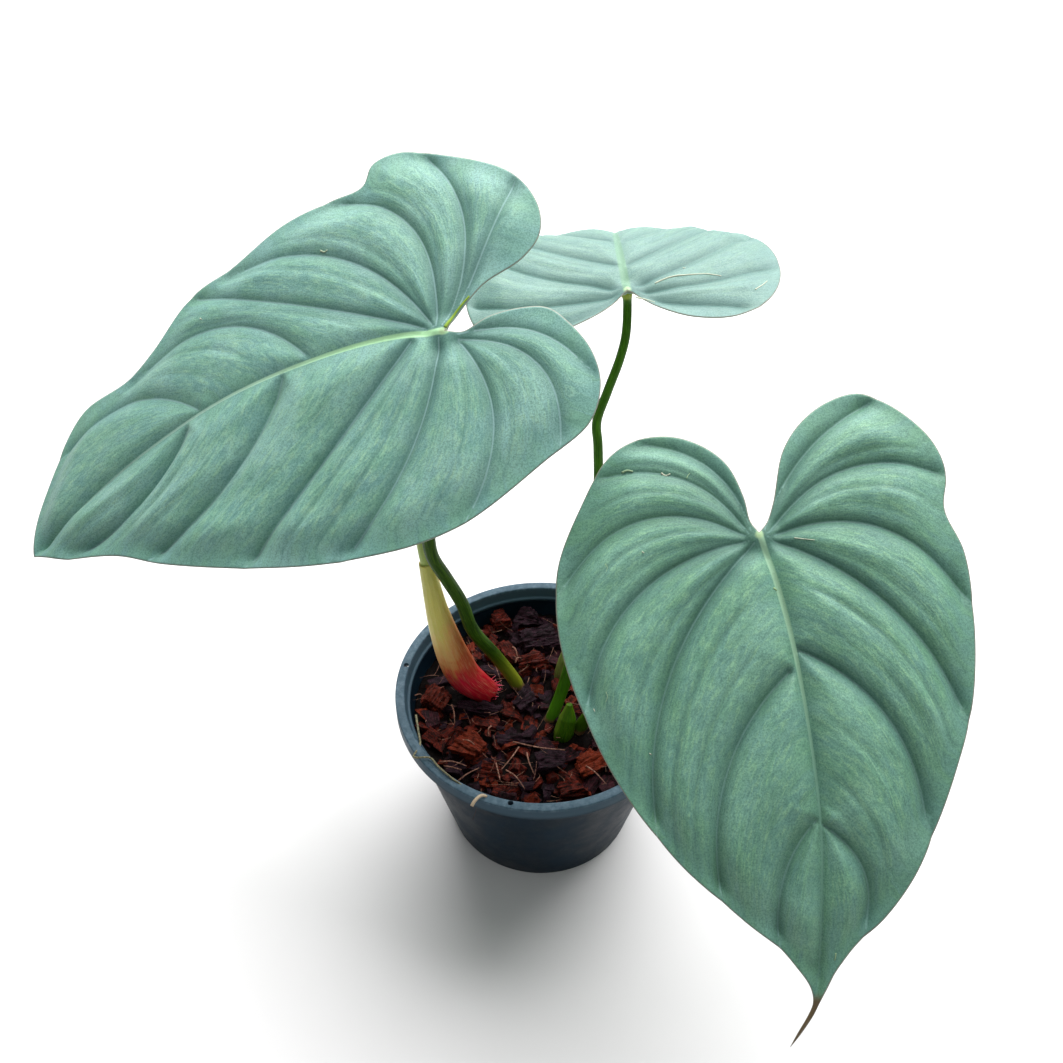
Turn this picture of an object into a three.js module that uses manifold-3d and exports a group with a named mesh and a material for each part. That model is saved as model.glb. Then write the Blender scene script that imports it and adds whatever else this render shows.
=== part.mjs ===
// Potted philodendron: a young plant with three heart-shaped quilted leaves, a new shoot in its
// sheath, and a plastic nursery pot filled with coconut husk chips.
// Millimetres, +Z up. The origin is the centre of the pot's flat base.
// Viewed from the front (+Y away, +X right): the largest leaf points left, one leaf hangs to the
// front right, and the third arches away at the back.
import * as THREE from 'three';
import { mergeVertices } from 'three/addons/utils/BufferGeometryUtils.js';
import Module from 'manifold-3d';

const wasm = await Module();
wasm.setup();

// Clearance kept between neighbouring solids, and the wider one round facets that don't line up.
const GAP = 0.3;
const FACET_GAP = 1.4 * GAP;

// Nursery pot, a six-inch size.
const POT = {
  height: 96.2,
  rimRadius: 75,
  lipHeight: 7.8,
  lipThickness: 1.8,
  skirtThickness: 1.6,
  shoulderRadius: 70.2,
  baseRadius: 49.9,
  wall: 1.6,
  floor: 2.2,
  rounding: 0.6,
  segments: 56,
};
const STEP_RING = { drop: 5.5, width: 1.3, height: 1.4 };
const DRAIN = { count: 8, radius: 4.5, circle: 37, sides: 12 };
const HANGER = { count: 4, radius: 1.4, circle: 72.0, firstBearing: 168, sides: 8 };

// Potting mix: a packed core with husk chips fused to its top. Chip sizes, lift above the core and
// tilt are each a range. Each chip is turned on from the one before by the golden angle.
const MIX = {
  topZ: 80.5,
  segments: 28,
  chipCount: 60,
  chipSize: [[9, 18], [6, 12], [5, 9]],
  chipReach: 0.62,
  chipLift: [-0.5, 1.1],
  chipTilt: [-24, 24],
  chipStray: 20,
  seed: 17,
};
const GOLDEN_ANGLE = 137.5;
const CHIP_WANDER = 0.16;

// Large loose husk chips: place on the mix, size, bearing, tilt and colour.
const RUST = 0x7a3a22;
const PLUM = 0x3a2a30;
const LARGE_CHIP_SEED = 100;
const LARGE_CHIPS = [
  { at: [-1.0, 44.0, 83.0], size: [23, 17, 9], turn: 18, tilt: 14, colour: PLUM },
  { at: [-7.5, 58.8, 83.5], size: [15, 9, 8], turn: -10, tilt: 10, colour: PLUM },
  { at: [-22.0, 56.5, 83.5], size: [10, 9, 9], turn: 12, tilt: -8, colour: RUST },
  { at: [-4.5, 28.0, 82.5], size: [15, 10, 9], turn: 22, tilt: -10, colour: RUST },
  { at: [-54.5, 3.5, 82.0], size: [14, 13, 9], turn: 62, tilt: 12, colour: RUST },
  { at: [-33.0, -3.0, 81.0], size: [23, 9, 8], turn: -8, tilt: 6, colour: PLUM },
  { at: [-36.0, -28.5, 83.0], size: [16, 15, 10], turn: -35, tilt: -8, colour: RUST },
  { at: [-13.0, -23.0, 80.5], size: [20, 9, 7], turn: 5, tilt: 5, colour: PLUM },
  { at: [4.5, -37.0, 82.0], size: [16, 12, 8], turn: 8, tilt: -9, colour: PLUM },
  { at: [24.5, -38.5, 83.0], size: [17, 12, 9], turn: 30, tilt: 10, colour: RUST },
  { at: [-25.0, -42.0, 81.5], size: [12, 9, 7], turn: -8, tilt: 12, colour: RUST },
  { at: [-9.5, 1.5, 81.5], size: [12, 9, 8], turn: 40, tilt: 10, colour: PLUM },
  { at: [14.5, -53.5, 82.0], size: [13, 9, 8], turn: 15, tilt: -6, colour: RUST },
];

// Creeping stem and its side bud, both under the chips.
const RHIZOME = { radius: 8.0, ring: 0.7, rings: 7, sides: 10, endTaper: 0.55, endPower: 8 };
const RHIZOME_AXIS = [[33, -28, 60], [16, -17, 61], [0, 0, 62], [-12, 10, 63], [-27, 11, 66]];
const SIDE_BUD = {
  axis: [[-4, 3, 61], [4, 13, 62], [9.5, 18.5, 70]],
  radii: [5.5, 4.5, 3.5],
  steps: 4,
  sides: 8,
};

// Roots spread round the creeping stem and dive as they go out, no further out than their reach.
const ROOTS = {
  count: 8,
  radii: [1.3, 1.3, 0.6],
  start: 2,
  out: 25,
  under: 3,
  dive: 36,
  reach: 44,
  turn: 0.38,
  stray: 0.1,
  sway: 0.5,
  steps: 6,
  sides: 5,
  seed: 5,
};

// Leaf stalks: the points that each axis passes through below the blade, and the radius at foot and
// top. The top turns square to the blade and meets it in front of the sinus.
const PETIOLES = {
  left: {
    axis: [[-9, 13, 62], [-12.4, 14.5, 80], [-22.5, 14.8, 101.6], [-34.7, 13.8, 124.9], [-39.6, 14.3, 144.4],
      [-46.7, 13.5, 163.7], [-52.7, 12.6, 181], [-53.4, 13, 205], [-51.4, 13, 240], [-45, 11, 285]],
    foot: 3.5,
    top: 3.1,
  },
  back: {
    axis: [[1, -7, 62], [5, -8, 80], [10, -3, 94], [17, 6, 122], [23.6, 22, 167], [26.7, 34, 202],
      [26.2, 41, 224], [25.3, 44.6, 235.3], [29.9, 48.6, 250], [35, 52.5, 265.4], [37.4, 56.5, 276]],
    foot: 3.3,
    top: 2.0,
  },
  right: {
    axis: [[15, -15, 62], [19.7, -14.5, 81], [31, -17, 108], [43, -23, 150], [57, -32, 195], [72, -45, 235]],
    foot: 3.4,
    top: 2.8,
  },
};
const STALK_SIDES = 10;
const STALK_STEPS = 17;
const STALK_SEAT = { inFront: 4.5, straight: 9, trim: 22 };

// New shoot: a fleshy sheath open on one side, with the rolled new leaf standing in it.
const SHOOT = {
  sheathAxis: [[-28.5, 10.8, 79], [-34, 10, 86], [-40, 10.5, 93.5], [-44.8, 12, 105], [-49, 13, 122],
    [-52.3, 15, 139], [-54.6, 17.6, 155], [-56.3, 19.8, 167.5]],
  sheathRadius: [7.0, 8.4, 8.8, 7.8, 6.7, 5.5, 4.6, 3.8],
  sheathWall: 1.7,
  thinWallShare: 0.36,
  sheathWrap: 290,
  sheathOpening: 60,
  sheathSteps: 11,
  arcSteps: 10,
  hemTooth: 2.2,
  socket: { radius: 8.8, low: 70, high: 86, sides: 12 },
  spearAxis: [[-23, 10.5, 66], [-27.5, 11, 77], [-34, 10, 86], [-40, 10.5, 94.5], [-44.8, 12, 106],
    [-49, 13, 123], [-52.3, 15, 140], [-54.8, 17.9, 157], [-57.9, 21.2, 177], [-59.8, 24, 203],
    [-61, 26, 228], [-60, 27, 246]],
  spearRadius: [1.6, 2.8, 4.6, 5.2, 4.8, 4.0, 3.0, 2.7, 2.5, 2.3, 1.9, 0.5],
  spearSteps: 24,
  spearSides: 9,
};

// Short pointed sheath and bud at the foot of the stalks.
const REMNANTS = {
  green_sheath: {
    axis: [[10.5, -18.5, 74], [11.7, -17.5, 82], [13.3, -15, 90], [14.2, -12.5, 98]],
    radius: [4.4, 4.9, 4.3, 1.4],
    colour: 0x4d7418,
  },
  side_bud_tip: {
    axis: [[10, 19.5, 76], [11, 21, 84], [12, 22.5, 93], [12.5, 24, 100]],
    radius: [3.2, 3.4, 2.6, 0.6],
    colour: 0x8a8a3a,
  },
};
const REMNANT_STEPS = 7;
const REMNANT_SIDES = 8;

// Leaf blades. Every blade is drawn flat, as [along, across]: along runs from the sinus to the tip,
// across is positive on the left of the midrib. heading, dip and roll turn the blade in degrees.
// arch, sideArch, twist and tipArch bend it, and sweep carries the blade sideways towards its tip.
// midrib lists the points that the midrib passes on its way from the sinus to the tip.
// A vein is [start, pull, end], the three points of a quadratic curve.
// The fields between the veins rise by quiltRise within quiltWidth of a vein and marginWidth of the
// margin. Below, ribs of sideRib and midRib stand out within ribWidth of the veins and the midrib.
const BLADE = {
  thickness: 0.8,
  quiltRise: 3.2,
  quiltWidth: 8.5,
  marginWidth: 8.0,
  ribWidth: 3.2,
  sideRib: 0.7,
  midRib: 1.6,
};

// Steps between the points of a blade along its margin, veins and crests, and in the fill between
// them. clear and fillClear are the least distances from a new point to the others.
const SPACING = {
  margin: 5.8,
  vein: 5.5,
  crest: 6.0,
  fill: 8.0,
  clear: 3.9,
  fillClear: 5.6,
  jitter: 0.6,
  seed: 3,
};
const LEAVES = {
  left: {
    sinus: [-39.2, 3.9, 315.1],
    heading: 176.7,
    dip: 16.1,
    roll: -32.3,
    arch: 0.9,
    sideArch: 0.55,
    twist: 0.44,
    tipArch: -0.86,
    sweep: 0.93,
    tip: [214, 9],
    midrib: [[28, -3], [61, -4], [103, -4], [132, -2], [165, 1], [200, 6]],
    leftEdge: [[-7, 1], [-18, -3], [-32, -4], [-42, -2], [-50, 6], [-57, 18], [-59, 32], [-53, 47],
      [-35, 59], [-2, 78], [22, 84], [54, 83], [75, 79], [105, 69], [137, 54], [161, 39], [193, 23],
      [205, 15]],
    rightEdge: [[-7, -8], [-17, -17], [-34, -25], [-42, -34], [-43, -46], [-37, -60], [-29, -68], [-6, -80],
      [16, -88], [28, -86], [33, -77], [49, -76], [73, -74], [99, -66], [122, -63], [143, -48], [158, -42],
      [184, -43], [195, -35], [204, -20], [211, -6]],
    leftVeins: [
      [[-4, 2], [-35, -1], [-51, 20]],
      [[-5, 4], [-47, 13], [-41, 50]],
      [[-4, 4], [-28, 38], [-4, 72]],
      [[3, 2], [11, 50], [48, 78]],
      [[15, 1], [52, 37], [94, 69]],
      [[74, -2], [95, 39], [140, 47]],
      [[123, 0], [145, 29], [182, 24]],
    ],
    rightVeins: [
      [[-2, -4], [-17, -28], [-33, -59]],
      [[1, -3], [-25, -45], [2, -80]],
      [[4, -3], [-4, -57], [44, -73]],
      [[5, -3], [33, -54], [93, -62]],
      [[8, -3], [63, -29], [119, -61]],
      [[61, -6], [95, -49], [146, -41]],
      [[116, -5], [153, -40], [196, -29]],
    ],
    colour: 0x6f9c88,
  },
  right: {
    sinus: [83.4, -62.8, 267.6],
    heading: -89.1,
    dip: 31.3,
    roll: 9.3,
    arch: 0.89,
    sideArch: 0.93,
    twist: -0.46,
    tipArch: 1.22,
    sweep: 0.55,
    tip: [193, -19],
    midrib: [[21, 5.5], [47, 9.7], [84, 11.4], [114, 9.8], [138, 5.3], [159, 0.5], [174, -4.4], [182, -8.7]],
    leftEdge: [[-4, 3], [-12, 6], [-33, 11], [-45, 19], [-53, 30], [-56, 42], [-51, 53], [-36, 68],
      [-22, 73], [-7, 71], [10, 77], [35, 78], [68, 73], [90, 64], [113, 52], [130, 41], [145, 27],
      [156, 13], [164.5, 4.6], [170, 0.6], [176, -3.8], [181, -7.4], [187, -12.8]],
    rightEdge: [[-5, -3], [-15, -5], [-29, -11], [-38, -21], [-43, -34], [-42, -49], [-34, -60], [-18, -69],
      [9, -80], [34, -81], [60, -76], [95, -63], [123, -46], [145, -25.5], [156.5, -13.5], [163, -9.2],
      [168, -6.6], [172, -5.8], [176.5, -6.4], [181, -9.4], [187.5, -14.8]],
    leftVeins: [
      [[0, 2], [-35, 13], [-52, 46]],
      [[1, 3], [-37, 31], [-22, 70]],
      [[2, 3], [-16, 50], [27, 76]],
      [[3, 4], [22, 55], [70, 70]],
      [[46, 11], [63, 49], [107, 50]],
      [[111, 11], [126, 31], [150, 19]],
    ],
    rightVeins: [
      [[-1, -3], [-35, -11], [-41, -46]],
      [[0, -4], [-32, -23], [-28, -60]],
      [[1, -5], [-24, -48], [16, -78]],
      [[3, -4], [11, -59], [66, -73]],
      [[4, -2], [51, -51], [114, -52]],
      [[54, 7], [87, -31], [138, -32]],
      [[109, 9], [128, -12], [157, -14]],
    ],
    colour: 0x68988a,
  },
  back: {
    sinus: [37.4, 60, 296.2],
    heading: 94,
    dip: -1,
    roll: -6,
    arch: 0.2,
    sideArch: 0.8,
    twist: 1.2,
    tipArch: 40,
    sweep: -0.3,
    tip: [118, -2],
    midrib: [[60, 0]],
    leftEdge: [[-3, 4], [-10, 12], [-17, 25], [-21, 40], [-19, 56], [-9, 67], [9, 72], [28, 71], [48, 66],
      [66, 58], [82, 46], [96, 31], [108, 14]],
    rightEdge: [[-3, -4], [-13, -12], [-24, -26], [-27, -42], [-17, -58], [-2, -67], [16, -70.5], [34, -69],
      [52, -64], [69, -56], [84, -45], [98, -32], [109, -16]],
    leftVeins: [
      [[-1, 3], [-20, 22], [-19, 54]],
      [[0, 3], [-10, 42], [10, 70]],
      [[3, 3], [14, 42], [46, 64]],
      [[20, 1], [36, 34], [69, 54]],
      [[45, 0], [62, 26], [88, 38]],
      [[74, -1], [88, 14], [104, 17]],
    ],
    rightVeins: [
      [[-1, -3], [-18, -22], [-20, -56]],
      [[0, -3], [-6, -42], [14, -68]],
      [[3, -3], [18, -42], [50, -63]],
      [[20, -2], [40, -34], [72, -52]],
      [[45, -3], [64, -26], [90, -38]],
      [[74, -4], [90, -17], [105, -19]],
    ],
    colour: 0x9cc0b0,
  },
};

const COLOURS = {
  pot: 0x39444d,
  mix: 0x3b231b,
  rhizome: 0x6b5a35,
  stalk: 0x3f6a1c,
  sheath: 0xc8704a,
  spear: 0x9fb35a,
};
const ROUGHNESS = { pot: 0.6, husk: 0.95, rhizome: 0.9, stalk: 0.5, leaf: 0.6, sheath: 0.45 };

// Random numbers in [0, 1) that are the same on every run, by the mulberry32 hash.
function seeded(seed) {
  let state = seed;
  return () => {
    state = (state + 0x6d2b79f5) | 0;
    let t = Math.imul(state ^ (state >>> 15), 1 | state);
    t = (t + Math.imul(t ^ (t >>> 7), 61 | t)) ^ t;
    return ((t ^ (t >>> 14)) >>> 0) / 4294967296;
  };
}

const vector = (point) => new THREE.Vector3(...point);
const radians = THREE.MathUtils.degToRad;
const drawn = ([low, high], random) => low + (high - low) * random();

// Solids and booleans

function meshGeometry(positions, triangles) {
  const geometry = new THREE.BufferGeometry();
  geometry.setAttribute('position', new THREE.Float32BufferAttribute(positions, 3));
  geometry.setIndex(triangles);
  return geometry;
}

function solidFrom(geometry) {
  const bare = geometry.clone();
  bare.deleteAttribute('normal');
  bare.deleteAttribute('uv');
  const merged = mergeVertices(bare, 1e-4);
  return new wasm.Manifold(new wasm.Mesh({
    numProp: 3,
    vertProperties: new Float32Array(merged.attributes.position.array),
    triVerts: new Uint32Array(merged.index.array),
  }));
}

function geometryFrom(solid) {
  const mesh = solid.getMesh();
  return meshGeometry(Array.from(mesh.vertProperties), Array.from(mesh.triVerts));
}

// The largest connected piece, without the loose scraps of a cut.
function largestPiece(solid) {
  const pieces = solid.decompose();
  return pieces.reduce((best, piece) => (piece.volume() > best.volume() ? piece : best));
}

// Closed body through rings that have the same number of points; first and last ring are capped.
function loftGeometry(rings, capTriangles) {
  const count = rings[0].length;
  const positions = rings.flat().flatMap((point) => [point.x, point.y, point.z]);
  const triangles = [];
  for (let ring = 0; ring + 1 < rings.length; ring++) {
    for (let i = 0; i < count; i++) {
      const next = (i + 1) % count;
      const a = ring * count + i;
      const b = ring * count + next;
      triangles.push(a, b, b + count, a, b + count, a + count);
    }
  }
  const last = (rings.length - 1) * count;
  for (const [a, b, c] of capTriangles) {
    triangles.push(a, c, b);
    triangles.push(last + a, last + b, last + c);
  }
  return meshGeometry(positions, triangles);
}

// Frames along a curve whose sideways axis turns as little as it can.
function framesAlong(curve, steps) {
  const frames = [];
  let side = new THREE.Vector3(1, 0, 0);
  for (let i = 0; i <= steps; i++) {
    const centre = curve.getPointAt(i / steps);
    const ahead = curve.getTangentAt(i / steps);
    side = side.clone().addScaledVector(ahead, -side.dot(ahead)).normalize();
    frames.push({ centre, side, up: new THREE.Vector3().crossVectors(ahead, side), ahead });
  }
  return frames;
}

function radiusAlong(radii, t) {
  const place = t * (radii.length - 1);
  const index = Math.min(Math.floor(place), radii.length - 2);
  return THREE.MathUtils.lerp(radii[index], radii[index + 1], place - index);
}

// Round stalk along the points, with radii read evenly along its length. A grown stalk is the
// stalk with that much room all round, past both ends too.
function stalkSolid(axis, radii, options = {}) {
  const { steps = STALK_STEPS, sides = STALK_SIDES, grow = 0, wave = () => 0 } = options;
  const curve = new THREE.CatmullRomCurve3(axis.map(vector), false, 'centripetal');
  const rings = framesAlong(curve, steps).map(({ centre, side, up, ahead }, i) => {
    const radius = radiusAlong(radii, i / steps) + wave(i / steps) + grow;
    const past = i === 0 ? -grow : i === steps ? grow : 0;
    return Array.from({ length: sides }, (_, k) => {
      const angle = (2 * Math.PI * k) / sides;
      return centre.clone()
        .addScaledVector(ahead, past)
        .addScaledVector(side, radius * Math.cos(angle))
        .addScaledVector(up, radius * Math.sin(angle));
    });
  });
  const cap = Array.from({ length: sides - 2 }, (_, k) => [0, k + 1, k + 2]);
  return solidFrom(loftGeometry(rings, cap));
}

// Pot

function latheSolid(profile, segments) {
  return solidFrom(new THREE.LatheGeometry(profile.map(([r, z]) => new THREE.Vector2(r, z)), segments)
    .rotateX(Math.PI / 2));
}

const wallSlope = (POT.shoulderRadius - POT.baseRadius) / (POT.height - POT.lipHeight);
const wallOuter = (z) => POT.baseRadius + wallSlope * z;
const wallInner = (z) => wallOuter(z) - POT.wall;

function drill({ radius, circle, sides }, bearing, low, high) {
  return solidFrom(new THREE.CylinderGeometry(radius, radius, high - low, sides)
    .rotateX(Math.PI / 2)
    .translate(circle * Math.cos(radians(bearing)), circle * Math.sin(radians(bearing)), (low + high) / 2));
}

function potSolid() {
  const lipUnder = POT.height - POT.lipThickness;
  const stepTop = POT.height - STEP_RING.drop;
  const stepFoot = stepTop - STEP_RING.height;
  const skirtFoot = POT.height - POT.lipHeight;
  const { rounding } = POT;
  const profile = [
    [0, 0],
    [POT.baseRadius - rounding, 0],
    [wallOuter(rounding), rounding],
    [wallOuter(skirtFoot), skirtFoot],
    [wallOuter(lipUnder), lipUnder],
    [POT.rimRadius - POT.skirtThickness, lipUnder],
    [POT.rimRadius - POT.skirtThickness, skirtFoot],
    [POT.rimRadius, skirtFoot],
    [POT.rimRadius, POT.height - rounding],
    [POT.rimRadius - rounding, POT.height],
    [wallInner(POT.height) + rounding, POT.height],
    [wallInner(POT.height), POT.height - rounding],
    [wallInner(stepTop), stepTop],
    [wallInner(stepTop) - STEP_RING.width, stepTop],
    [wallInner(stepFoot) - STEP_RING.width, stepFoot],
    [wallInner(stepFoot - STEP_RING.width), stepFoot - STEP_RING.width],
    [wallInner(POT.floor), POT.floor],
    [0, POT.floor],
  ];
  let pot = latheSolid(profile, POT.segments);
  for (let i = 0; i < DRAIN.count; i++) {
    pot = pot.subtract(drill(DRAIN, (360 * i) / DRAIN.count, -1, POT.floor + 1));
  }
  for (let i = 0; i < HANGER.count; i++) {
    const bearing = HANGER.firstBearing + (360 * i) / HANGER.count;
    pot = pot.subtract(drill(HANGER, bearing, lipUnder - 1, POT.height + 1));
  }
  return pot;
}

// Potting mix

// Six-sided block with knocked-about corners, as a piece of husk is.
function chunkSolid({ at, size, turn, tilt }, random, grow = 0) {
  const box = new THREE.BoxGeometry(1, 1, 1, 1, 1, 1);
  box.deleteAttribute('normal');
  box.deleteAttribute('uv');
  const block = mergeVertices(box, 1e-4);
  const corners = block.attributes.position;
  for (let i = 0; i < corners.count; i++) {
    const corner = new THREE.Vector3().fromBufferAttribute(corners, i);
    const shrink = [0, 1, 2].map(() => 1 - CHIP_WANDER * random());
    corners.setXYZ(i, ...corner.toArray().map((c, k) => c * size[k] * shrink[k] + Math.sign(c) * grow));
  }
  block.rotateX(radians(tilt)).rotateZ(radians(turn)).translate(...at);
  return solidFrom(block);
}

function largeChip(index, grow = 0) {
  return chunkSolid(LARGE_CHIPS[index], seeded(LARGE_CHIP_SEED + index), grow);
}

function mixSolid(clearances) {
  const random = seeded(MIX.seed);
  const edge = (z) => wallInner(z) - GAP;
  const bottom = POT.floor + GAP;
  const core = [[0, bottom], [edge(bottom), bottom], [edge(MIX.topZ), MIX.topZ], [0, MIX.topZ]];
  let mix = latheSolid(core, MIX.segments);
  for (let i = 0; i < MIX.chipCount; i++) {
    const size = MIX.chipSize.map((range) => drawn(range, random));
    const reach = edge(MIX.topZ) - GAP - MIX.chipReach * size[0];
    const radius = reach * Math.sqrt((i + 0.5) / MIX.chipCount);
    const bearing = radians(GOLDEN_ANGLE * i + MIX.chipStray * random());
    const z = MIX.topZ + drawn(MIX.chipLift, random);
    mix = mix.add(chunkSolid({
      at: [radius * Math.cos(bearing), radius * Math.sin(bearing), z],
      size,
      turn: 360 * random(),
      tilt: drawn(MIX.chipTilt, random),
    }, random));
  }
  for (const clearance of clearances) {
    mix = mix.subtract(clearance);
  }
  return largestPiece(mix);
}

// Creeping stem with roots

function rhizomeSolid(grow = 0) {
  const { radius, ring, rings, sides, endTaper, endPower } = RHIZOME;
  const taper = (t) => endTaper * radius * Math.abs(2 * t - 1) ** endPower;
  const wave = (t) => ring * Math.cos(2 * Math.PI * rings * t) - taper(t);
  let rhizome = stalkSolid(RHIZOME_AXIS, [radius, radius], { steps: 2 * rings, sides, grow, wave });
  rhizome = rhizome.add(stalkSolid(SIDE_BUD.axis, SIDE_BUD.radii, { ...SIDE_BUD, grow }));
  const random = seeded(ROOTS.seed);
  const spine = new THREE.CatmullRomCurve3(RHIZOME_AXIS.map(vector));
  for (let i = 0; i < ROOTS.count; i++) {
    const start = spine.getPointAt((i + 0.5) / ROOTS.count);
    const bearing = 2 * Math.PI * (i * ROOTS.turn + ROOTS.stray * random());
    const axis = [0, 0.3, 0.65, 1].map((t) => {
      const out = ROOTS.start + ROOTS.out * t;
      const sway = bearing + ROOTS.sway * t * (random() - 0.5);
      const point = new THREE.Vector3(start.x + out * Math.cos(sway), start.y + out * Math.sin(sway), 0)
        .clampLength(0, ROOTS.reach);
      return [point.x, point.y, start.z - ROOTS.under - ROOTS.dive * t * t];
    });
    rhizome = rhizome.add(stalkSolid(axis, ROOTS.radii, { ...ROOTS, grow }));
  }
  return rhizome;
}

// Shoot

// Open ring of a sheath: an outer arc and an inner arc, closed across both free edges.
function sheathGeometry() {
  const { sheathSteps, arcSteps, sheathWrap } = SHOOT;
  const firstBearing = SHOOT.sheathOpening + (360 - sheathWrap) / 2;
  const curve = new THREE.CatmullRomCurve3(SHOOT.sheathAxis.map(vector), false, 'centripetal');
  const rings = framesAlong(curve, sheathSteps).map(({ centre, side, up, ahead }, i) => {
    const outer = radiusAlong(SHOOT.sheathRadius, i / sheathSteps);
    const hem = i === 0 ? SHOOT.hemTooth : 0;
    const arcPoint = (k, radius) => {
      const angle = radians(firstBearing + (sheathWrap * k) / arcSteps);
      return centre.clone()
        .addScaledVector(side, radius * Math.cos(angle))
        .addScaledVector(up, radius * Math.sin(angle))
        .addScaledVector(ahead, k % 2 ? hem : -hem);
    };
    const wall = Math.min(SHOOT.sheathWall, SHOOT.thinWallShare * outer);
    const ks = Array.from({ length: arcSteps + 1 }, (_, k) => k);
    return [...ks.map((k) => arcPoint(k, outer)), ...ks.reverse().map((k) => arcPoint(k, outer - wall))];
  });
  const last = 2 * arcSteps + 1;
  const cap = [];
  for (let k = 0; k < arcSteps; k++) {
    cap.push([k, k + 1, last - k - 1], [k, last - k - 1, last - k]);
  }
  return loftGeometry(rings, cap);
}

// Leaf blades

// Delaunay triangles of flat points, by adding one point at a time.
function delaunay(points) {
  const far = 4000;
  const all = [...points, [-far, -far], [far, -far], [0, far]];
  const n = points.length;
  const circle = ([a, b, c]) => {
    const [ax, ay] = all[a];
    const [bx, by] = all[b];
    const [cx, cy] = all[c];
    const d = 2 * (ax * (by - cy) + bx * (cy - ay) + cx * (ay - by));
    const [aa, bb, cc] = [ax * ax + ay * ay, bx * bx + by * by, cx * cx + cy * cy];
    const x = (aa * (by - cy) + bb * (cy - ay) + cc * (ay - by)) / d;
    const y = (aa * (cx - bx) + bb * (ax - cx) + cc * (bx - ax)) / d;
    return { x, y, reach: (ax - x) ** 2 + (ay - y) ** 2 };
  };
  let faces = [[n, n + 1, n + 2]].map((corners) => ({ corners, ...circle(corners) }));
  for (let p = 0; p < n; p++) {
    const [px, py] = all[p];
    const edges = new Map();
    faces = faces.filter((face) => {
      if ((face.x - px) ** 2 + (face.y - py) ** 2 >= face.reach) {
        return true;
      }
      face.corners.forEach((a, i) => {
        const b = face.corners[(i + 1) % 3];
        const twin = `${b},${a}`;
        if (!edges.delete(twin)) {
          edges.set(`${a},${b}`, [a, b]);
        }
      });
      return false;
    });
    for (const [a, b] of edges.values()) {
      const corners = [a, b, p];
      faces.push({ corners, ...circle(corners) });
    }
  }
  return faces.map((face) => face.corners).filter((corners) => corners.every((i) => i < n));
}

// Flat curve from the sinus to the tip by way of the points given.
function curveToTip(points, tip) {
  const knots = [[0, 0], ...points, tip].map(([x, y]) => new THREE.Vector3(x, y, 0));
  return new THREE.CatmullRomCurve3(knots, false, 'centripetal');
}

// One side of the margin, from the sinus to the tip, with shorter steps towards both ends.
function sidePoints(edge, tip) {
  const curve = curveToTip(edge, tip);
  const steps = Math.round(curve.getLength() / SPACING.margin);
  return Array.from({ length: steps + 1 }, (_, i) => {
    const even = i / steps;
    const eased = 0.5 - 0.5 * Math.cos(Math.PI * even);
    const point = curve.getPointAt(0.5 * (even + eased));
    return [point.x, point.y];
  });
}

function veinPoints([start, pull, end], spacing) {
  const curve = new THREE.QuadraticBezierCurve(
    new THREE.Vector2(...start), new THREE.Vector2(...pull), new THREE.Vector2(...end));
  return curve.getSpacedPoints(Math.round(curve.getLength() / spacing)).map((point) => [point.x, point.y]);
}

// The lines midway between neighbouring veins, where the fields stand highest.
function crestPoints(veins, spacing) {
  const midway = (a, b) => a.map(([x, y], i) => [(x + b[i][0]) / 2, (y + b[i][1]) / 2]);
  return veins.slice(1).map((vein, i) => veinPoints(midway(veins[i], vein), spacing));
}

function midribPoints({ midrib, tip }, spacing) {
  const curve = curveToTip(midrib, tip);
  return curve.getSpacedPoints(Math.round(curve.getLength() / spacing)).map((point) => [point.x, point.y]);
}

function inside([x, y], outline) {
  let within = false;
  outline.forEach(([x1, y1], i) => {
    const [x2, y2] = outline[(i + 1) % outline.length];
    if ((y1 > y) !== (y2 > y) && x < x1 + ((y - y1) * (x2 - x1)) / (y2 - y1)) {
      within = !within;
    }
  });
  return within;
}

const distance = ([x1, y1], [x2, y2]) => Math.hypot(x1 - x2, y1 - y2);

function extent(points, axis) {
  const values = points.map((point) => point[axis]);
  return [Math.min(...values), Math.max(...values)];
}

function distanceToLine(point, line) {
  let nearest = Infinity;
  for (let i = 0; i + 1 < line.length; i++) {
    const [ax, ay] = line[i];
    const [bx, by] = line[i + 1];
    const along = (point[0] - ax) * (bx - ax) + (point[1] - ay) * (by - ay);
    const t = THREE.MathUtils.clamp(along / ((bx - ax) ** 2 + (by - ay) ** 2), 0, 1);
    nearest = Math.min(nearest, distance(point, [ax + t * (bx - ax), ay + t * (by - ay)]));
  }
  return nearest;
}

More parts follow.
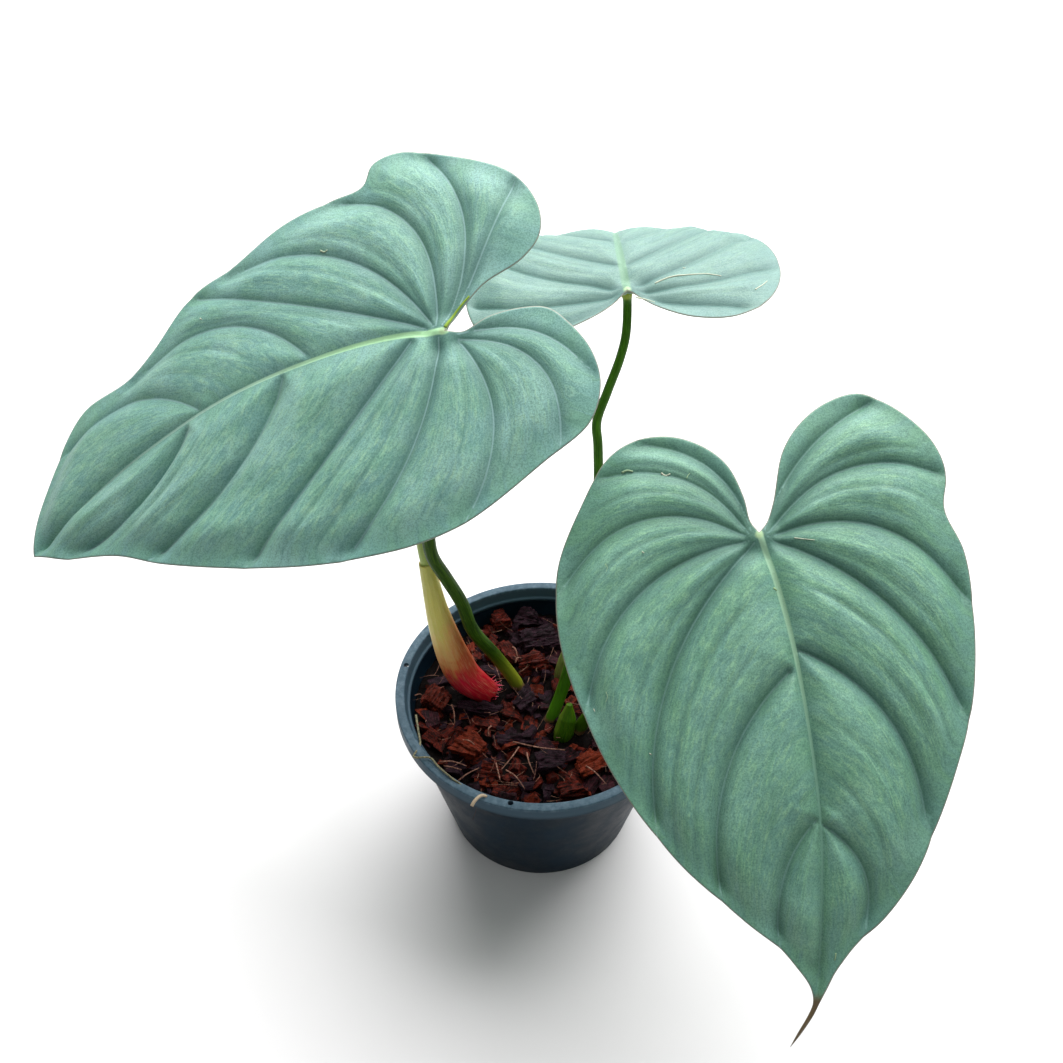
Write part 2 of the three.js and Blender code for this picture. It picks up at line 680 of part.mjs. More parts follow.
// Flat points of a blade and their triangles: margin, veins, crests, then an even fill between them.
function bladeMesh(leaf) {
  const left = sidePoints(leaf.leftEdge, leaf.tip);
  const right = sidePoints(leaf.rightEdge, leaf.tip);
  const margin = [...right, ...left.slice(1, -1).reverse()];
  const points = [...margin];
  const addClear = (point, clear) => {
    if (inside(point, margin) && points.every((other) => distance(point, other) > clear)) {
      points.push(point);
    }
  };
  const veins = [...leaf.leftVeins, ...leaf.rightVeins].map((vein) => veinPoints(vein, SPACING.vein));
  const crests = [leaf.leftVeins, leaf.rightVeins].flatMap((side) => crestPoints(side, SPACING.crest));
  for (const line of [midribPoints(leaf, SPACING.vein), ...veins, ...crests]) {
    line.forEach((point) => addClear(point, SPACING.clear));
  }
  const random = seeded(SPACING.seed);
  const jitter = () => SPACING.jitter * (random() - 0.5);
  const rowStep = SPACING.fill * Math.sqrt(0.75);
  const [lowU, highU] = extent(margin, 0);
  const [lowV, highV] = extent(margin, 1);
  for (let row = Math.floor(lowU / rowStep); row * rowStep < highU; row++) {
    const shift = row % 2 ? 0.5 : 0;
    for (let column = Math.floor(lowV / SPACING.fill); column * SPACING.fill < highV; column++) {
      addClear([row * rowStep + jitter(), (column + shift) * SPACING.fill + jitter()], SPACING.fillClear);
    }
  }
  const triangles = delaunay(points).filter((corners) => {
    const centre = [0, 1].map((k) => corners.reduce((sum, i) => sum + points[i][k], 0) / 3);
    return inside(centre, margin);
  });
  return { points, triangles, margin: [...margin, margin[0]] };
}

function bladeFrame({ sinus, heading, dip, roll }) {
  const turn = new THREE.Matrix4().makeRotationZ(radians(heading))
    .multiply(new THREE.Matrix4().makeRotationY(radians(dip)))
    .multiply(new THREE.Matrix4().makeRotationX(radians(roll)));
  return turn.setPosition(...sinus);
}

// Height of the bent blade above its flat drawing.
function bladeHeight({ arch, sideArch, twist, tipArch }, u, v) {
  return (-arch * u * u - sideArch * v * v + twist * u * v) / 1e3 - (tipArch * u ** 3) / 1e6;
}

const easeIn = (t) => THREE.MathUtils.smoothstep(t, 0, 1);

// Closed blade: upper face lifted by above, lower face dropped by below, the same triangles on both.
function bladeGeometry(leaf, { above = 0, below = 0 } = {}) {
  const { points, triangles, margin } = bladeMesh(leaf);
  const frame = bladeFrame(leaf);
  const midrib = midribPoints(leaf, SPACING.vein);
  const veins = [...leaf.leftVeins, ...leaf.rightVeins].map((vein) => veinPoints(vein, SPACING.vein));
  const faces = { upper: [], lower: [] };
  for (const point of points) {
    const [u, v] = point;
    const toMidrib = distanceToLine(point, midrib);
    const toVein = Math.min(...veins.map((line) => distanceToLine(point, line)));
    const inward = easeIn(distanceToLine(point, margin) / BLADE.marginWidth);
    const quilt = BLADE.quiltRise * inward * easeIn(Math.min(toMidrib, toVein) / BLADE.quiltWidth);
    const step = 0.5;
    const slopeU = (bladeHeight(leaf, u + step, v) - bladeHeight(leaf, u - step, v)) / (2 * step);
    const slopeV = (bladeHeight(leaf, u, v + step) - bladeHeight(leaf, u, v - step)) / (2 * step);
    const normal = new THREE.Vector3(-slopeU, -slopeV, 1).normalize();
    const rib = Math.max(
      BLADE.midRib * (1 - Math.max(u, 0) / leaf.tip[0]) * (1 - easeIn(toMidrib / BLADE.ribWidth)),
      BLADE.sideRib * (1 - easeIn(toVein / BLADE.ribWidth)));
    const sweep = (leaf.sweep * Math.max(u, 0) ** 2) / 1e3;
    const place = new THREE.Vector3(u, v + sweep, bladeHeight(leaf, u, v));
    const thickness = BLADE.thickness + rib;
    faces.upper.push(place.clone().addScaledVector(normal, quilt + above).applyMatrix4(frame));
    faces.lower.push(place.clone().addScaledVector(normal, quilt - thickness - below).applyMatrix4(frame));
  }
  const count = points.length;
  const positions = [...faces.upper, ...faces.lower].flatMap((point) => point.toArray());
  const index = [];
  const open = new Map();
  for (const [a, b, c] of triangles) {
    index.push(a, b, c, count + a, count + c, count + b);
    for (const [from, to] of [[a, b], [b, c], [c, a]]) {
      if (!open.delete(`${to},${from}`)) {
        open.set(`${from},${to}`, [from, to]);
      }
    }
  }
  for (const [from, to] of open.values()) {
    index.push(from, count + from, count + to, from, count + to, to);
  }
  return meshGeometry(positions, index);
}

// Assembly

const plant = new THREE.Group();

function addMesh(name, geometry, colour, roughness) {
  const material = new THREE.MeshStandardMaterial({ color: colour, roughness, metalness: 0 });
  const mesh = new THREE.Mesh(geometry, material);
  mesh.name = name;
  plant.add(mesh);
  return mesh;
}

const rhizome = rhizomeSolid();
const rhizomeClear = rhizomeSolid(GAP);

// Stalk through the points of its axis and on, square through the blade.
function petiole(side, grow) {
  const { axis, foot, top } = PETIOLES[side];
  const frame = bladeFrame(LEAVES[side]);
  const seatPoint = (height) => vector([STALK_SEAT.inFront, 0, height]).applyMatrix4(frame).toArray();
  const whole = [...axis, seatPoint(-STALK_SEAT.straight), seatPoint(STALK_SEAT.straight)];
  return stalkSolid(whole, [foot, (foot + 2 * top) / 3, top], { grow });
}

function remnant(name, grow) {
  const { axis, radius } = REMNANTS[name];
  return stalkSolid(axis, radius, { steps: REMNANT_STEPS, sides: REMNANT_SIDES, grow });
}

function spear(grow) {
  const { spearAxis, spearRadius, spearSteps, spearSides } = SHOOT;
  return stalkSolid(spearAxis, spearRadius, { steps: spearSteps, sides: spearSides, grow });
}

// Round socket for the toothed foot of the sheath.
function sheathSocket() {
  const [x, y] = SHOOT.sheathAxis[0];
  const { low, high } = SHOOT.socket;
  const bearing = THREE.MathUtils.radToDeg(Math.atan2(y, x));
  return drill({ ...SHOOT.socket, circle: Math.hypot(x, y) }, bearing, low, high);
}

const sheathRoom = stalkSolid(SHOOT.sheathAxis, SHOOT.sheathRadius, {
  steps: SHOOT.sheathSteps,
  sides: 2 * SHOOT.arcSteps,
  grow: FACET_GAP,
});

const stemClearances = [
  rhizomeClear,
  sheathRoom,
  sheathSocket(),
  spear(GAP),
  ...Object.keys(PETIOLES).map((side) => petiole(side, GAP)),
  ...Object.keys(REMNANTS).map((name) => remnant(name, GAP)),
  ...LARGE_CHIPS.map((_, i) => largeChip(i, FACET_GAP)),
];

addMesh('pot', geometryFrom(potSolid()), COLOURS.pot, ROUGHNESS.pot);
addMesh('potting_mix', geometryFrom(mixSolid(stemClearances)), COLOURS.mix, ROUGHNESS.husk);
LARGE_CHIPS.forEach((chip, i) => {
  addMesh(`husk_chip_${i + 1}`, geometryFrom(largeChip(i)), chip.colour, ROUGHNESS.husk);
});
addMesh('rhizome_with_roots', geometryFrom(rhizome), COLOURS.rhizome, ROUGHNESS.rhizome);
for (const side of Object.keys(LEAVES)) {
  const blade = bladeGeometry(LEAVES[side]);
  const roomForBlade = solidFrom(bladeGeometry(LEAVES[side], { above: STALK_SEAT.trim, below: GAP }));
  const stalk = largestPiece(petiole(side, 0).subtract(rhizomeClear).subtract(roomForBlade));
  addMesh(`petiole_${side}`, geometryFrom(stalk), COLOURS.stalk, ROUGHNESS.stalk);
  addMesh(`leaf_${side}`, blade, LEAVES[side].colour, ROUGHNESS.leaf);
}
const sheath = largestPiece(solidFrom(sheathGeometry()).subtract(spear(GAP)));
addMesh('cataphyll', geometryFrom(sheath), COLOURS.sheath, ROUGHNESS.sheath);
const youngLeaf = largestPiece(spear(0).subtract(rhizomeClear));
addMesh('new_leaf_spear', geometryFrom(youngLeaf), COLOURS.spear, ROUGHNESS.stalk);
for (const [name, { colour }] of Object.entries(REMNANTS)) {
  const piece = largestPiece(remnant(name, 0).subtract(rhizomeClear));
  addMesh(name, geometryFrom(piece), colour, ROUGHNESS.stalk);
}

export default plant;
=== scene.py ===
import math
from types import SimpleNamespace as Settings

import bpy
import numpy as np
from mathutils import Matrix, Vector, noise
from mathutils.geometry import delaunay_2d_cdt


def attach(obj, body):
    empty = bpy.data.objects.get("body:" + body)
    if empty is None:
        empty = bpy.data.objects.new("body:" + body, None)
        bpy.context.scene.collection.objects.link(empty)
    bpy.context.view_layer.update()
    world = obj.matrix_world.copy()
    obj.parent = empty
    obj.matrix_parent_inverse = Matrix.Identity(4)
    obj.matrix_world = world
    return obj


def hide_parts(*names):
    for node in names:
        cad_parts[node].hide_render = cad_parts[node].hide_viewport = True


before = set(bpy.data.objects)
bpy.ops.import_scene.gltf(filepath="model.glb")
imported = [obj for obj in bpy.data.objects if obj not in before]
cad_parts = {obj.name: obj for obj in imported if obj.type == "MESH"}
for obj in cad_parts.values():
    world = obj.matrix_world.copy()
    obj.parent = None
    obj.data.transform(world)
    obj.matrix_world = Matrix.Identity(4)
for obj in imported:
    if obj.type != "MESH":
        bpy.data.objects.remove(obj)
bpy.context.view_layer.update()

MM = 0.001

# Camera of the photograph, pitched up from straight down.
CAMERA = Settings(place=(-0.005, -0.4257, 0.6188), pitch=46.0, lens=44.03, sensor=36.0,
          clip_start=0.01)
FLOOR = Settings(reach=3000.0, colour=(0.66, 0.65, 0.65, 1.0))
# Soft studio: a very large light above and behind the plant, a weak one before it and an even surround.
LIGHT = {
    "surround": 0.28,
    "surround_colour": (0.93, 0.97, 1.0, 1.0),
    "key": {"place": (0.25, 0.88, 1.4), "size": 2.2, "power": 106.0},
    "fill": {"place": (0.5, -0.9, 1.2), "size": 1.2, "power": 3.0},
    "aim": (0.0, 0.0, 0.15),
}

# Leaf blades, each drawn flat as [along, across] from its sinus, then turned and bent into place.
# A vein is [start, pull, end], the three points of a quadratic curve. rib_reach gives half the width
# of the pale midrib at some distances along it. left_relief and right_relief are the strength of the
# quilting of each half, at the lobes and beyond them. tail is where a blade's dry tip starts, past the
# whole blade if it has none.
LEAVES = {
    "left": {
        "sinus": (-39.2, 3.9, 315.1),
        "heading": 176.7,
        "dip": 16.1,
        "roll": -32.3,
        "arch": 0.9,
        "side_arch": 0.55,
        "twist": 0.44,
        "tip_arch": -0.86,
        "sweep": 0.93,
        "tip": (214, 9),
        "midrib": [(28, -3), (61, -4), (103, -4), (132, -2), (165, 1), (200, 6)],
        "rib_reach": [(0, 1.5), (20, 1.15), (60, 0.85), (100, 0.6), (150, 0.42), (214, 0.25)],
        "left_relief": (0.65, 2.0),
        "right_relief": (0.9, 0.8),
        "tail": 400.0,
        "left_edge": [(-7, 1), (-18, -3), (-32, -4), (-42, -2), (-50, 6), (-57, 18), (-59, 32),
                      (-53, 47), (-35, 59), (-2, 78), (22, 84), (54, 83), (75, 79), (105, 69),
                      (137, 54), (161, 39), (193, 23), (205, 15)],
        "right_edge": [(-7, -8), (-17, -17), (-34, -25), (-42, -34), (-43, -46), (-37, -60), (-29, -68),
                       (-6, -80), (16, -88), (28, -86), (33, -77), (49, -76), (73, -74), (99, -66),
                       (122, -63), (143, -48), (158, -42), (184, -43), (195, -35), (204, -20),
                       (211, -6)],
        "left_veins": [
            [(-4, 2), (-35, -1), (-51, 20)],
            [(-5, 4), (-47, 13), (-41, 50)],
            [(-4, 4), (-28, 38), (-4, 72)],
            [(3, 2), (11, 50), (48, 78)],
            [(15, 1), (52, 37), (94, 69)],
            [(74, -2), (95, 39), (140, 47)],
            [(123, 0), (145, 29), (182, 24)],
        ],
        "right_veins": [
            [(-2, -4), (-17, -28), (-33, -59)],
            [(1, -3), (-25, -45), (2, -80)],
            [(4, -3), (-4, -57), (44, -73)],
            [(5, -3), (33, -54), (93, -62)],
            [(8, -3), (63, -29), (119, -61)],
            [(61, -6), (95, -49), (146, -41)],
            [(116, -5), (153, -40), (196, -29)],
        ],
        "seed": 11,
    },
    "right": {
        "sinus": (83.4, -62.8, 267.6),
        "heading": -89.1,
        "dip": 31.3,
        "roll": 9.3,
        "arch": 0.89,
        "side_arch": 0.93,
        "twist": -0.46,
        "tip_arch": 1.22,
        "sweep": 0.55,
        "tip": (193, -19),
        "midrib": [(21, 5.5), (47, 9.7), (84, 11.4), (114, 9.8), (138, 5.3), (159, 0.5), (174, -4.4),
                   (182, -8.7)],
        "rib_reach": [(0, 1.2), (30, 1.05), (50, 0.85), (68, 0.6), (110, 0.4), (193, 0.25)],
        "left_relief": (1.25, 1.7),
        "right_relief": (0.9, 2.0),
        "tail": 170.0,
        "left_edge": [(-4, 3), (-12, 6), (-33, 11), (-45, 19), (-53, 30), (-56, 42), (-51, 53),
                      (-36, 68), (-22, 73), (-7, 71), (10, 77), (35, 78), (68, 73), (90, 64),
                      (113, 52), (130, 41), (145, 27), (156, 13), (164.5, 4.6), (170, 0.6),
                      (176, -3.8), (181, -7.4), (187, -12.8)],
        "right_edge": [(-5, -3), (-15, -5), (-29, -11), (-38, -21), (-43, -34), (-42, -49), (-34, -60),
                       (-18, -69), (9, -80), (34, -81), (60, -76), (95, -63), (123, -46), (145, -25.5),
                       (156.5, -13.5), (163, -9.2), (168, -6.6), (172, -5.8), (176.5, -6.4), (181, -9.4),
                       (187.5, -14.8)],
        "left_veins": [
            [(0, 2), (-35, 13), (-52, 46)],
            [(1, 3), (-37, 31), (-22, 70)],
            [(2, 3), (-16, 50), (27, 76)],
            [(3, 4), (22, 55), (70, 70)],
            [(46, 11), (63, 49), (107, 50)],
            [(111, 11), (126, 31), (150, 19)],
        ],
        "right_veins": [
            [(-1, -3), (-35, -11), (-41, -46)],
            [(0, -4), (-32, -23), (-28, -60)],
            [(1, -5), (-24, -48), (16, -78)],
            [(3, -4), (11, -59), (66, -73)],
            [(4, -2), (51, -51), (114, -52)],
            [(54, 7), (87, -31), (138, -32)],
            [(109, 9), (128, -12), (157, -14)],
        ],
        "seed": 12,
    },
    "back": {
        "sinus": (37.4, 60, 296.2),
        "heading": 94,
        "dip": -1,
        "roll": -6,
        "arch": 0.2,
        "side_arch": 0.8,
        "twist": 1.2,
        "tip_arch": 40,
        "sweep": -0.3,
        "tip": (118, -2),
        "midrib": [(60, 0)],
        "rib_reach": [(0, 1.9), (30, 1.8), (70, 1.2), (118, 0.4)],
        "left_relief": (0.8, 0.8),
        "right_relief": (0.8, 0.8),
        "tail": 400.0,
        "left_edge": [(-3, 4), (-10, 12), (-17, 25), (-21, 40), (-19, 56), (-9, 67), (9, 72), (28, 71),
                      (48, 66), (66, 58), (82, 46), (96, 31), (108, 14)],
        "right_edge": [(-3, -4), (-13, -12), (-24, -26), (-27, -42), (-17, -58), (-2, -67), (16, -70.5),
                       (34, -69), (52, -64), (69, -56), (84, -45), (98, -32), (109, -16)],
        "left_veins": [
            [(-1, 3), (-20, 22), (-19, 54)],
            [(0, 3), (-10, 42), (10, 70)],
            [(3, 3), (14, 42), (46, 64)],
            [(20, 1), (36, 34), (69, 54)],
            [(45, 0), (62, 26), (88, 38)],
            [(74, -1), (88, 14), (104, 17)],
        ],
        "right_veins": [
            [(-1, -3), (-18, -22), (-20, -56)],
            [(0, -3), (-6, -42), (14, -68)],
            [(3, -3), (18, -42), (50, -63)],
            [(20, -2), (40, -34), (72, -52)],
            [(45, -3), (64, -26), (90, -38)],
            [(74, -4), (90, -17), (105, -19)],
        ],
        "seed": 13,
    },
}

# Relief of a blade: the fields rise above its margin and drop steeply to the sunken veins, whose
# valleys run on past their ends. The collar over the stalk and the crest of the midrib stand up, finer
# veins groove the fields, and ribs stand out underneath. lobes are the distances along the blade where
# the two strengths of relief apply, and relief_blend is the width of the change from half to half.
BLADE = Settings(
    quilt_rise=2.8, quilt_width=3.4,
    dome_rise=0.8, dome_width=18.0,
    margin_width=18.0,
    valley_fade=5.0, valley_at_margin=0.3, run_on=9.0,
    lobes=(-10.0, 60.0), relief_blend=16.0,
    collar_rise=1.2, collar_width=8.0, collar_at=1.0, collar_clear=1.5,
    groove=0.55, groove_width=2.3, groove_strength=(0.15, 1.0), groove_from=4.0, groove_fade=14.0,
    pucker=0.7, pucker_grain=(0.8, 0.04, 1.0),
    thickness=0.75, rim_thickness=0.45, rim_width=5.0,
    mid_rib=1.6, side_rib=0.7, rib_width=3.2,
    crest=0.45, crest_width=1.5,
    slope_step=0.5, tail_fade=8.0,
)
# Rows of points along a blade's lines, each by its distances from the line, and the steps between
# points. clear and fill_clear are the least distances from a new point to the others.
WEAVE = Settings(
    margin_rows=(0.9, 2.0), midrib_rows=(0.0, 0.8, 1.6, 2.6),
    vein_rows=(0.0, 0.7, 1.5), fine_rows=(0.0, 1.0),
    step=1.35, midrib_step=3.0, clear=0.62,
    fill=1.5, fill_clear=0.95, fill_play=0.08,
)
# Finer veins part each field between two veins. The streaks follow lines that part it more finely.
FIELD_PARTS = 3
FLOW_PARTS = 4
FLOW_GAP = 7.0
# Points of each span of a curve through knots, and of a vein.
CURVE_STEPS = 16
VEIN_STEPS = 24

# Leaf stalks: points of each axis, and radius at foot and top.
PETIOLES = {
    "left": {
        "axis": [(-9, 13, 62), (-12.4, 14.5, 80), (-22.5, 14.8, 101.6), (-34.7, 13.8, 124.9),
                 (-39.6, 14.3, 144.4), (-46.7, 13.5, 163.7), (-52.7, 12.6, 181), (-53.4, 13, 205),
                 (-51.4, 13, 240), (-45, 11, 285)],
        "foot": 3.5,
        "top": 3.1,
    },
    "back": {
        "axis": [(1, -7, 62), (5, -8, 80), (10, -3, 94), (17, 6, 122), (23.6, 22, 167), (26.7, 34, 202),
                 (26.2, 41, 224), (25.3, 44.6, 235.3), (29.9, 48.6, 250), (35, 52.5, 265.4),
                 (37.4, 56.5, 276)],
        "foot": 3.3,
        "top": 2.0,
    },
    "right": {
        "axis": [(15, -15, 62), (19.7, -14.5, 81), (31, -17, 108), (43, -23, 150), (57, -32, 195),
                 (72, -45, 235)],
        "foot": 3.4,
        "top": 2.8,
    },
}
# A stalk comes straight up to its blade from below, in front of the sinus, and flares at its top.
# Each ridge is how many times it goes round, its height and where it starts.
STALK = Settings(
    in_front=4.5, straight=9.0, under=1.2,
    flare=0.45, flare_length=7.0, brim=1.0, brim_length=2.5,
    ridges=((9, 0.018, 0.0), (14, 0.012, 1.0)),
    wobble=0.02, wobble_length=7.0,
    pale_foot=34.0, scar_depth=2.0, scar_fade=5.0, collar=1.0, collar_fade=6.0,
    steps=150, sides=28,
)

# New shoot: a fleshy sheath open on one side, with the rolled new leaf standing in it. The sheath's
# wall thins towards the opening, a keel runs up its back, and its foot is torn.
SHEATH = Settings(
    axis=[(-28.5, 10.8, 79), (-34, 10, 86), (-40, 10.5, 93.5), (-44.8, 12, 105), (-49, 13, 122),
          (-52.3, 15, 139), (-54.6, 17.6, 155), (-56.3, 19.8, 167.5)],
    radius=(7.0, 8.4, 8.8, 7.8, 6.7, 5.5, 4.6, 3.8),
    wall=1.7, thin_wall_share=0.24,
    wrap=290.0, opening=60.0, edge_wall=0.25, edge_taper=0.16,
    ribs=13, rib_height=0.012,
    keel_at=0.62, keel_width=0.03, keel_height=0.03,
    tears=23, tear_depth=(-2.4, 2.2), tear_length=7.0,
    flank_slope=0.9, flank_shift=0.05,
    dry_edge=0.03, dry_edge_from=45.0, dry_top=0.7, dry_top_length=1.4,
    steps=110, arc_steps=44, seed=8,
)
# Torn strands round the sheath's foot. down, out, lean and wild are how much each sets out downwards,
# outwards, to one side and at random.
TORN = Settings(
    count=70, seed=21,
    from_axis=(0.55, 1.0), along=(-1.0, 2.0),
    down=0.9, out=(0.2, 0.9), lean=(0.5, -0.2, 0.55), wild=0.35, bend=0.2,
    length=(1.5, 4.8), radius=(0.25, 0.5), end_radius=0.07,
    axis_steps=40, steps=7, sides=5,
)
SPEAR = Settings(
    axis=[(-23, 10.5, 66), (-27.5, 11, 77), (-34, 10, 86), (-40, 10.5, 94.5), (-44.8, 12, 106),
          (-49, 13, 123), (-52.3, 15, 140), (-54.8, 17.9, 157), (-57.9, 21.2, 177), (-59.8, 24, 203),
          (-61, 26, 228), (-60, 27, 246)],
    radius=(1.6, 2.8, 4.6, 5.2, 4.8, 4.0, 3.0, 2.7, 2.5, 2.3, 1.9, 0.5),
    seam_step=0.12, seam_power=0.6, seam_turn=60.0,
    steps=120, sides=30,
)
# Two short pointed sheaths, at the foot of the right stalk and behind it, and the shape they share.
REMNANTS = {
    "green_sheath": {
        "axis": [(10.5, -18.5, 74), (11.7, -17.5, 82), (13.3, -15, 90), (14.2, -12.5, 98)],
        "radius": (4.4, 4.9, 4.3, 1.4),
    },
    "side_bud_tip": {
        "axis": [(10, 19.5, 76), (11, 21, 84), (12, 22.5, 93), (12.5, 24, 100)],
        "radius": (3.2, 3.4, 2.6, 0.6),
    },
}
REMNANT = Settings(
    oval=0.05,
    groove=0.03, groove_at=3.6, groove_width=0.16,
    grain=1.8,
    # A highlight painted down one side of the sheath, with where it starts and how it fades.
    pale_side=0.35, pale_from=0.4, pale_fade=0.5,
    steps=60, sides=32,
)

# Large loose chips, as in the part: place, size, turn and tilt, and how far towards plum each is.
LARGE_CHIPS = [
    {"at": (-1.0, 44.0, 83.0), "size": (23, 17, 9), "turn": 18, "tilt": 14, "plum": 0.85},
    {"at": (-7.5, 58.8, 83.5), "size": (15, 9, 8), "turn": -10, "tilt": 10, "plum": 0.9},
    {"at": (-22.0, 56.5, 83.5), "size": (10, 9, 9), "turn": 12, "tilt": -8, "plum": 0.2},
    {"at": (-4.5, 28.0, 82.5), "size": (15, 10, 9), "turn": 22, "tilt": -10, "plum": 0.3},
    {"at": (-54.5, 3.5, 82.0), "size": (14, 13, 9), "turn": 62, "tilt": 12, "plum": 0.1},
    {"at": (-33.0, -3.0, 81.0), "size": (23, 9, 8), "turn": -8, "tilt": 6, "plum": 1.0},
    {"at": (-36.0, -28.5, 83.0), "size": (16, 15, 10), "turn": -35, "tilt": -8, "plum": 0.05},
    {"at": (-13.0, -23.0, 80.5), "size": (20, 9, 7), "turn": 5, "tilt": 5, "plum": 0.95},
    {"at": (4.5, -37.0, 82.0), "size": (16, 12, 8), "turn": 8, "tilt": -9, "plum": 0.7},
    {"at": (24.5, -38.5, 83.0), "size": (17, 12, 9), "turn": 30, "tilt": 10, "plum": 0.0},
    {"at": (-25.0, -42.0, 81.5), "size": (12, 9, 7), "turn": -8, "tilt": 12, "plum": 0.35},
    {"at": (-9.5, 1.5, 81.5), "size": (12, 9, 8), "turn": 40, "tilt": 10, "plum": 0.8},
    {"at": (14.5, -53.5, 82.0), "size": (13, 9, 8), "turn": 15, "tilt": -6, "plum": 0.25},
]
# Packed mix, and the crumbs over it. clearance is the gap between mix and pot, level is where the
# stems come out of the chips, and each lump is a height, a fineness and a slice of the noise.
MIX = Settings(
    top=79.0, level=82.0, clearance=0.35,
    lumps=((2.2, 0.13, 3.0), (1.1, 0.4, 3.6)),
    rings=46, sides=160, seed=17,
)
# Crumbs are set out on a spiral. width, height, sunk and stem_gap are shares of their own size, and
# fine_from is the length from which a crumb is cut more finely.
CRUMBS = Settings(
    count=560,
    length=(3.5, 12.0), small_bias=1.6, width=(0.5, 0.9), height=(0.35, 0.7),
    turn_step=137.5, turn_play=14.0, tilt=32.0,
    lift=(-1.5, 4.0), sunk=0.25,
    edge_gap=1.0, stem_gap=0.25,
    cuts=(3, 4), fine_from=7.5,
    grain_shift=17.0,
)
# How far towards plum the smaller chips are, and the share of chips for each.
CRUMB_TONES = {0.05: 0.1, 0.2: 0.2, 0.3: 0.2, 0.6: 0.15, 0.85: 0.2, 1.0: 0.15}
# Stems that stand in the mix: x, y and the room that each needs.
STEMS = [(-12.5, 14.5, 5.0), (5.0, -8.0, 5.0), (19.5, -14.5, 5.0), (11.5, -17.5, 5.5),
         (11.0, 21.0, 4.5), (-34.0, 10.0, 9.0), (-40.0, 10.5, 9.0), (-29.0, 10.8, 9.0)]
# A chip is a block with worn corners, skewed, and roughened by lumps, fibres and splinters. grain is
# how fine each is, along and across the fibres.
CHIP = Settings(
    worn=0.16, skew=0.4, bulge_share=0.6, shear_share=0.4,
    relief=0.24, lump=0.9, lump_grain=0.17,
    fibre=0.8, fibre_grain=(0.12, 0.8, 0.8),
    splinter=0.6, splinter_grain=(0.2, 1.7, 1.7),
    grain_shift=40.0, sharp=42.0, cuts=18,
)

# Nursery pot: a wall with a small bead under its lip, a lip turned down as a skirt, and a step inside.
POT = Settings(
    height=96.2, wall=1.6, floor=2.2,
    base_radius=49.9, shoulder_radius=70.2, rim_radius=75.0,
    lip_height=7.8, lip_thickness=1.8, skirt_thickness=1.6,
    step_drop=5.5, step_width=1.3, step_height=1.4,
    bead_foot=3.4, bead_top=2.4, bead_out=0.5,
    rounding=0.7, sharp=38.0, segments=224,
)
DRAIN = {"count": 8, "radius": 4.5, "circle": 37.0, "first": 0.0}
HANGER = {"count": 4, "radius": 1.4, "circle": 72.0, "first": 168.0}
DRILL = Settings(sides=36, margin=1.0, floor_margin=0.6)
# Rounded corners of the pot's profile: the most that an arc takes of a side, and its steps.
ARC_SHARE = 0.45
ARC_STEPS = 4


# Small helpers

def ease(t):
    """Smooth way from 0 to 1."""
    t = np.clip(t, 0.0, 1.0)
    return t * t * (3.0 - 2.0 * t)


def colour(code):
    """Linear colour of an sRGB code such as "7a3a22"."""
    parts = [int(code[i:i + 2], 16) / 255 for i in (0, 2, 4)]
    linear = [c / 12.92 if c <= 0.04045 else ((c + 0.055) / 1.055) ** 2.4 for c in parts]
    return (*linear, 1.0)


def unit(vectors):
    return vectors / np.linalg.norm(vectors, axis=-1, keepdims=True)


def noise_at(points):
    """Smooth noise at each point, from -1 to 1."""
    return np.array([noise.noise(Vector(point)) for point in points])


def full_turn(count):
    """Angles of that many evenly spaced points round a circle."""
    return np.linspace(0.0, 2 * math.pi, count, endpoint=False)


def dense_curve(points):
    """Points along the centripetal Catmull-Rom curve through the given points."""
    points = np.asarray(points, float)
    ghosts = np.vstack([2 * points[0] - points[1], points, 2 * points[-1] - points[-2]])
    t = np.linspace(0.0, 1.0, CURVE_STEPS, endpoint=False)[:, None]
    spans = []
    for before, a, b, after in zip(ghosts, ghosts[1:], ghosts[2:], ghosts[3:]):
        gap0, gap1, gap2 = (math.sqrt(np.linalg.norm(side)) for side in (a - before, b - a, after - b))
        out = gap1 * ((a - before) / gap0 - (b - before) / (gap0 + gap1) + (b - a) / gap1)
        into = gap1 * ((b - a) / gap1 - (after - a) / (gap1 + gap2) + (after - b) / gap2)
        square = (3 * (b - a) - 2 * out - into) * t ** 2
        cube = (2 * (a - b) + out + into) * t ** 3
        spans.append(a + out * t + square + cube)
    return np.vstack([*spans, points[-1:]])


def lengths_along(line):
    return np.concatenate([[0.0], np.cumsum(np.linalg.norm(np.diff(line, axis=0), axis=1))])


def evenly(line, count):
    """The line again with that many points, evenly spaced."""
    lengths = lengths_along(line)
    wanted = np.linspace(0.0, lengths[-1], count)
    return np.column_stack([np.interp(wanted, lengths, line[:, k]) for k in range(line.shape[1])])


def spaced(line, step):
    return evenly(line, max(3, round(lengths_along(line)[-1] / step) + 1))


def frames_along(line):
    """Directions along a line: sideways, up and ahead, turning as little as they can."""
    ahead = unit(np.gradient(line, axis=0))
    side = np.array([1.0, 0.0, 0.0])
    sides = []
    for direction in ahead:
        side = side - side.dot(direction) * direction
        side = side / np.linalg.norm(side)
        sides.append(side)
    sides = np.array(sides)
    return sides, np.cross(ahead, sides), ahead


def course(knots, steps):
    """An even line through the knots, its directions sideways, up and ahead, and the length so far."""
    line = evenly(dense_curve(knots), steps)
    return (line, *frames_along(line), lengths_along(line))


def profile_along(values, count):
    """The values spread evenly over that many steps, with straight ways between."""
    return np.interp(np.linspace(0, len(values) - 1, count), range(len(values)), values)


